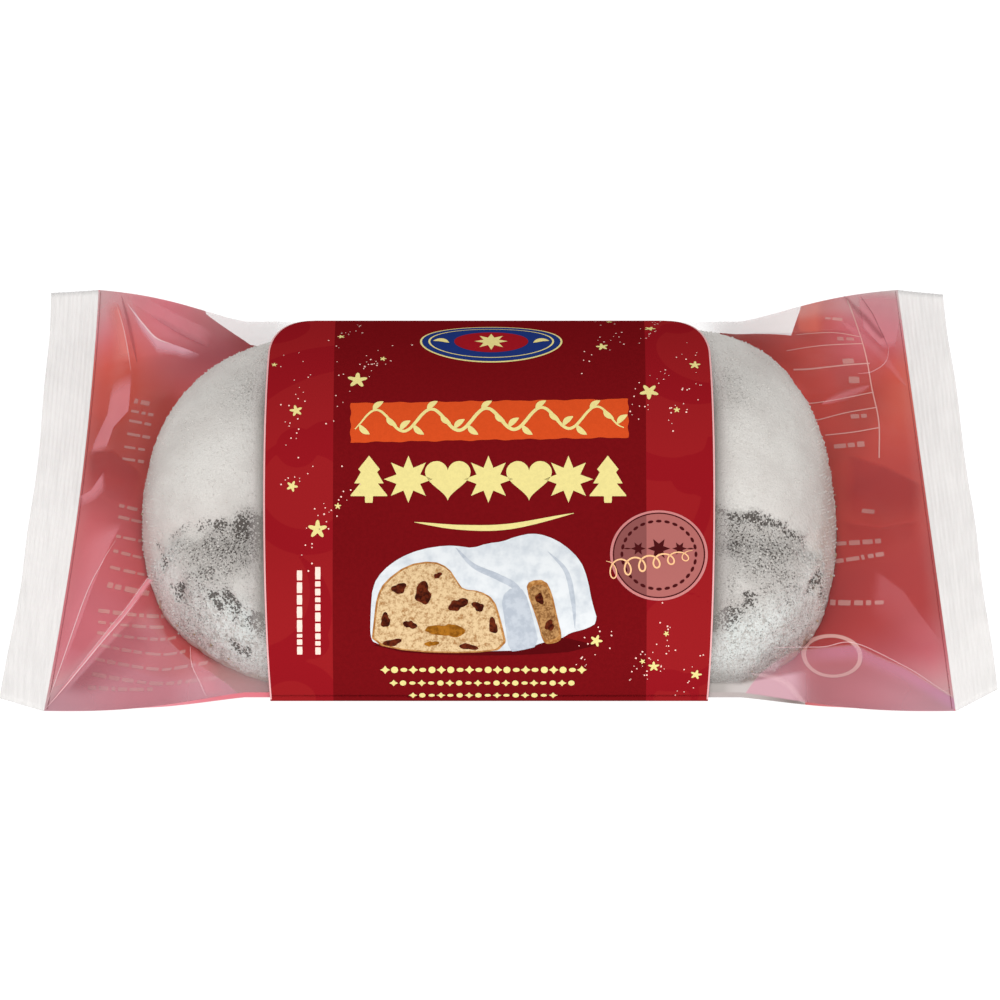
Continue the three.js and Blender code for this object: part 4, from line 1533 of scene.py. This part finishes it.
class STOLLEN_OT_label_picture(bpy.types.Operator):
    """Build the printed picture: a plain cut loaf under sugar, in simple shapes"""

    bl_idname = "stollen.label_picture"
    bl_label = "Label Picture"

    def execute(self, context):
        label = context.scene.stollen_label
        rng = np.random.default_rng(5)
        inks = (
            ("shadow", srgb(82, 10, 14)),
            ("sugar", label.sugar, srgb(188, 194, 200), 5.0, (0.3, 0.62)),
            ("shade", srgb(184, 190, 198), srgb(168, 175, 185), 2.5),
            ("crumb", label.crumb, srgb(158, 116, 72), 0.9, (0.34, 0.58)),
            ("deep crumb", srgb(176, 132, 84), srgb(118, 78, 44), 1.1),
            ("raisin", label.raisin, srgb(52, 18, 12), 1.6),
            ("peel", srgb(160, 102, 30), srgb(120, 72, 18), 2.0),
            ("crust", srgb(190, 140, 84), srgb(150, 98, 50), 1.4),
        )
        materials = [print_material(f"pictured {name}", *rest) for name, *rest in inks]
        shadow, sugar, shade, pale, deep, dark, peel, crust = range(8)
        bm = bmesh.new()
        add_patch(bm, (-3, 15.0), ellipse(22.5, 2.2), 0.06, shadow, rings=8, segments=72)
        self.add_shape(bm, "coat", 1.0, 0.08, sugar)
        self.add_shape(bm, "side", 1.0, 0.1, shade)
        fold = ((-9, 34.9), (-5.4, 31.2), (-0.4, 28.9), (3.4, 26.6), (5.6, 21.5), (7.2, 15.6))
        add_ribbon(bm, on_label, fold, 1.3, 0.11, shade, 60, taper=0.6)
        fold = ((9.6, 34.2), (13.4, 30), (14.8, 24), (15.2, 18.6))
        add_ribbon(bm, on_label, fold, 1.0, 0.11, shade, 40, taper=0.8)
        for name, share, ink in (("gap", 0.86, deep), ("face", 0.965, pale)):
            self.add_shape(bm, name, 1.0, 0.12, crust)
            self.add_shape(bm, name, share, 0.14, ink)
        for fruits, ink in ((FRUITS, dark), (PEEL, peel)):
            for x, s, *form in fruits:
                self.add_fruit(bm, rng, (x, s), ellipse(*form), ink)
        finish_piece(bm, "label_picture", materials)
        return {"FINISHED"}

    def add_shape(self, bm, name, scale, lift, material):
        """One outline of the picture, with its corners cut off."""
        centre, corners = PICTURED[name]
        corners = (np.array(corners) - centre) * scale
        following = np.roll(corners, -1, axis=0)
        blunt = np.stack((lerp(corners, following, 0.25), lerp(corners, following, 0.75)), 1).reshape(-1, 2)
        add_patch(bm, centre, polygon(blunt), lift, material, rings=8, segments=180)

    def add_fruit(self, bm, rng, spot, form, material):
        first, second = rng.uniform(0, TURN, 2)

        def edge(angle):
            return form(angle) * (1 + 0.13 * np.sin(3 * angle + first) + 0.08 * np.sin(5 * angle + second))

        add_patch(bm, spot, edge, 0.17, material, rings=2, segments=32)


class STOLLEN_OT_label_seals(bpy.types.Operator):
    """Build the round seal and the oval plaque, both plain"""

    bl_idname = "stollen.label_seals"
    bl_label = "Label Seals"

    def execute(self, context):
        label = context.scene.stollen_label
        inks = (
            ("seal ink", label.ink), ("plaque navy", label.navy), ("plaque cream", label.cream),
            ("plaque red", srgb(150, 22, 32)), ("seal rim", srgb(196, 124, 122)),
            ("seal flourish", srgb(244, 190, 140)),
        )
        materials = [medal_material(label), *(print_material(*ink) for ink in inks)]
        pink, ink, navy, cream, red, rim, script = range(7)
        medal, plaque = np.array((32.2, 33.5)), np.array((-1.8, 85.0))
        bm = bmesh.new()
        ovals = (
            (medal, 9.9, 9.3, 0.07, rim, 0.0, 8, 96),
            (medal, 9.2, 8.65, 0.1, pink, 0.0, 8, 96),
            (medal, 9.35, 8.8, 0.13, ink, 0.972, 1, 96),
            (plaque, 14.6, 7.6, 0.07, cream, 0.0, 6, 96),
            (plaque, 14.2, 7.2, 0.1, navy, 0.0, 6, 96),
            (plaque, 12.9, 6.1, 0.13, cream, 0.97, 1, 96),
            (plaque, 7.6, 4.2, 0.13, red, 0.0, 4, 72),
        )
        for centre, half_x, half_s, *rest in ovals:
            add_patch(bm, centre, ellipse(half_x, half_s), *rest)
        for angle in np.arange(28) * TURN / 28:
            spot = medal + (7.5 * math.cos(angle), 7.0 * math.sin(angle))
            add_patch(bm, spot, ellipse(0.62, 0.3, angle + math.pi / 2), 0.13, ink, rings=1, segments=12)
        line = ellipse(0.8, 0.14)
        for x, shape in ((-4.2, star(1.5, 6, 0.45)), (0, star(2.3, 6, 0.45)), (4.2, star(1.5, 6, 0.45)),
                         (6.4, line), (-6.4, line)):
            add_patch(bm, medal + (x, 1.2), shape, 0.13, ink, segments=12)
        u = np.linspace(0, 1, 61)
        loops = TURN * 6 * u
        flourish = np.stack(
            (21.5 + 17.5 * u + 1.3 * np.sin(loops), 30.2 + 3.2 * u + (1.9 - u) * np.cos(loops)), -1
        )
        add_ribbon(bm, on_label, flourish, 0.36, 0.16, script, 240, taper=0.3)
        add_patch(bm, plaque, star(3.4, 8, 0.5), 0.16, cream, rings=2, segments=16)
        for way in (-1, 1):
            leaf = [plaque + (way * x, s) for x, s in ((8.6, -0.6), (10.2, 0.6), (11.9, 0.2))]
            add_ribbon(bm, on_label, leaf, 1.4, 0.16, cream, 16, taper=0.9)
        finish_piece(bm, "label_seals", materials)
        return {"FINISHED"}


# --- the stage ---


class STOLLEN_OT_stage(bpy.types.Operator):
    """Build the floor, the soft studio light and the camera"""

    bl_idname = "stollen.stage"
    bl_label = "Stage"

    def execute(self, context):
        stage = context.scene.stollen_stage
        context.scene.view_settings.view_transform = "Standard"
        graph = material_graph("pale floor")
        inputs = {
            "Base Color": graph.mix(graph.noise(3.0, 2.0, 0.5), (0.12,) * 3, (0.14,) * 3),
            "Roughness": 0.9, "Specular IOR Level": 0.0,
            "Emission Color": (1, 1, 1), "Emission Strength": 0.97,
        }
        material = graph.finish(graph.add("ShaderNodeBsdfPrincipled", inputs).outputs[0])
        bm = bmesh.new()
        add_grid(bm, 24, 24, lambda u, v: stack(lerp(-2500, 2500, u), lerp(-2500, 2500, v), 0 * u))
        mesh_object(bm, "floor", [material])

        world = bpy.data.worlds.new("studio")
        world.use_nodes = True
        background = world.node_tree.nodes["Background"]
        background.inputs["Color"].default_value = (1, 1, 1, 1)
        background.inputs["Strength"].default_value = stage.sky
        context.scene.world = world
        self.add_softbox("key", (-0.04, -0.24, 0.95), 0.7, stage.key)
        self.add_softbox("front", (0, -1.0, 0.35), 0.6, stage.front)
        self.add_softbox("fill_left", (-0.8, -0.6, 0.6), 0.6, stage.fill)
        self.add_softbox("fill_right", (0.8, -0.6, 0.6), 0.6, stage.fill)

        away = Vector((0, -math.cos(stage.elevation), math.sin(stage.elevation)))
        data = bpy.data.cameras.new("camera")
        data.lens = stage.lens
        data.sensor_width = 36
        data.clip_end = 20
        data.dof.use_dof = False
        camera = bpy.data.objects.new("camera", data)
        camera.location = Vector(stage.aim) + away * stage.distance
        camera.rotation_euler = (-away).to_track_quat("-Z", "Y").to_euler()
        context.scene.collection.objects.link(camera)
        context.scene.camera = camera
        return {"FINISHED"}

    def add_softbox(self, name, place, size, power):
        data = bpy.data.lights.new(name, "AREA")
        data.shape = "SQUARE"
        data.size = size
        data.energy = power
        lamp = bpy.data.objects.new(name, data)
        lamp.location = place
        lamp.visible_glossy = False
        lamp.rotation_euler = (Vector((0, 0, 0.01)) - Vector(place)).to_track_quat("-Z", "Y").to_euler()
        bpy.context.scene.collection.objects.link(lamp)


# --- panel, registration and run ---

PIECES = (
    STOLLEN_OT_film_back, STOLLEN_OT_back_print, STOLLEN_OT_back_seam, STOLLEN_OT_loaf,
    STOLLEN_OT_loose_sugar, STOLLEN_OT_film_front, STOLLEN_OT_film_streaks, STOLLEN_OT_end_seals,
    STOLLEN_OT_label, STOLLEN_OT_label_stars, STOLLEN_OT_label_title, STOLLEN_OT_label_picture,
    STOLLEN_OT_label_seals, STOLLEN_OT_stage,
)


class VIEW3D_PT_stollen(bpy.types.Panel):
    """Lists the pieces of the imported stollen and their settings"""

    bl_idname = "VIEW3D_PT_stollen"
    bl_label = "Packed Stollen"
    bl_space_type = "VIEW_3D"
    bl_region_type = "UI"
    bl_category = "Stollen"

    def draw(self, context):
        for operator in PIECES:
            self.layout.operator(operator.bl_idname)
        for name, group in SETTINGS.items():
            box = self.layout.box()
            for key in group.__annotations__:
                box.prop(getattr(context.scene, name), key)


def register():
    for item in (*SETTINGS.values(), *PIECES, VIEW3D_PT_stollen):
        bpy.utils.register_class(item)
    for name, group in SETTINGS.items():
        setattr(bpy.types.Scene, name, bpy.props.PointerProperty(type=group))


def unregister():
    for name in SETTINGS:
        delattr(bpy.types.Scene, name)
    for item in reversed((*SETTINGS.values(), *PIECES, VIEW3D_PT_stollen)):
        bpy.utils.unregister_class(item)


def main():
    register()
    for operator in PIECES:
        group, name = operator.bl_idname.split(".")
        getattr(getattr(bpy.ops, group), name)()


if __name__ == "__main__":
    main()
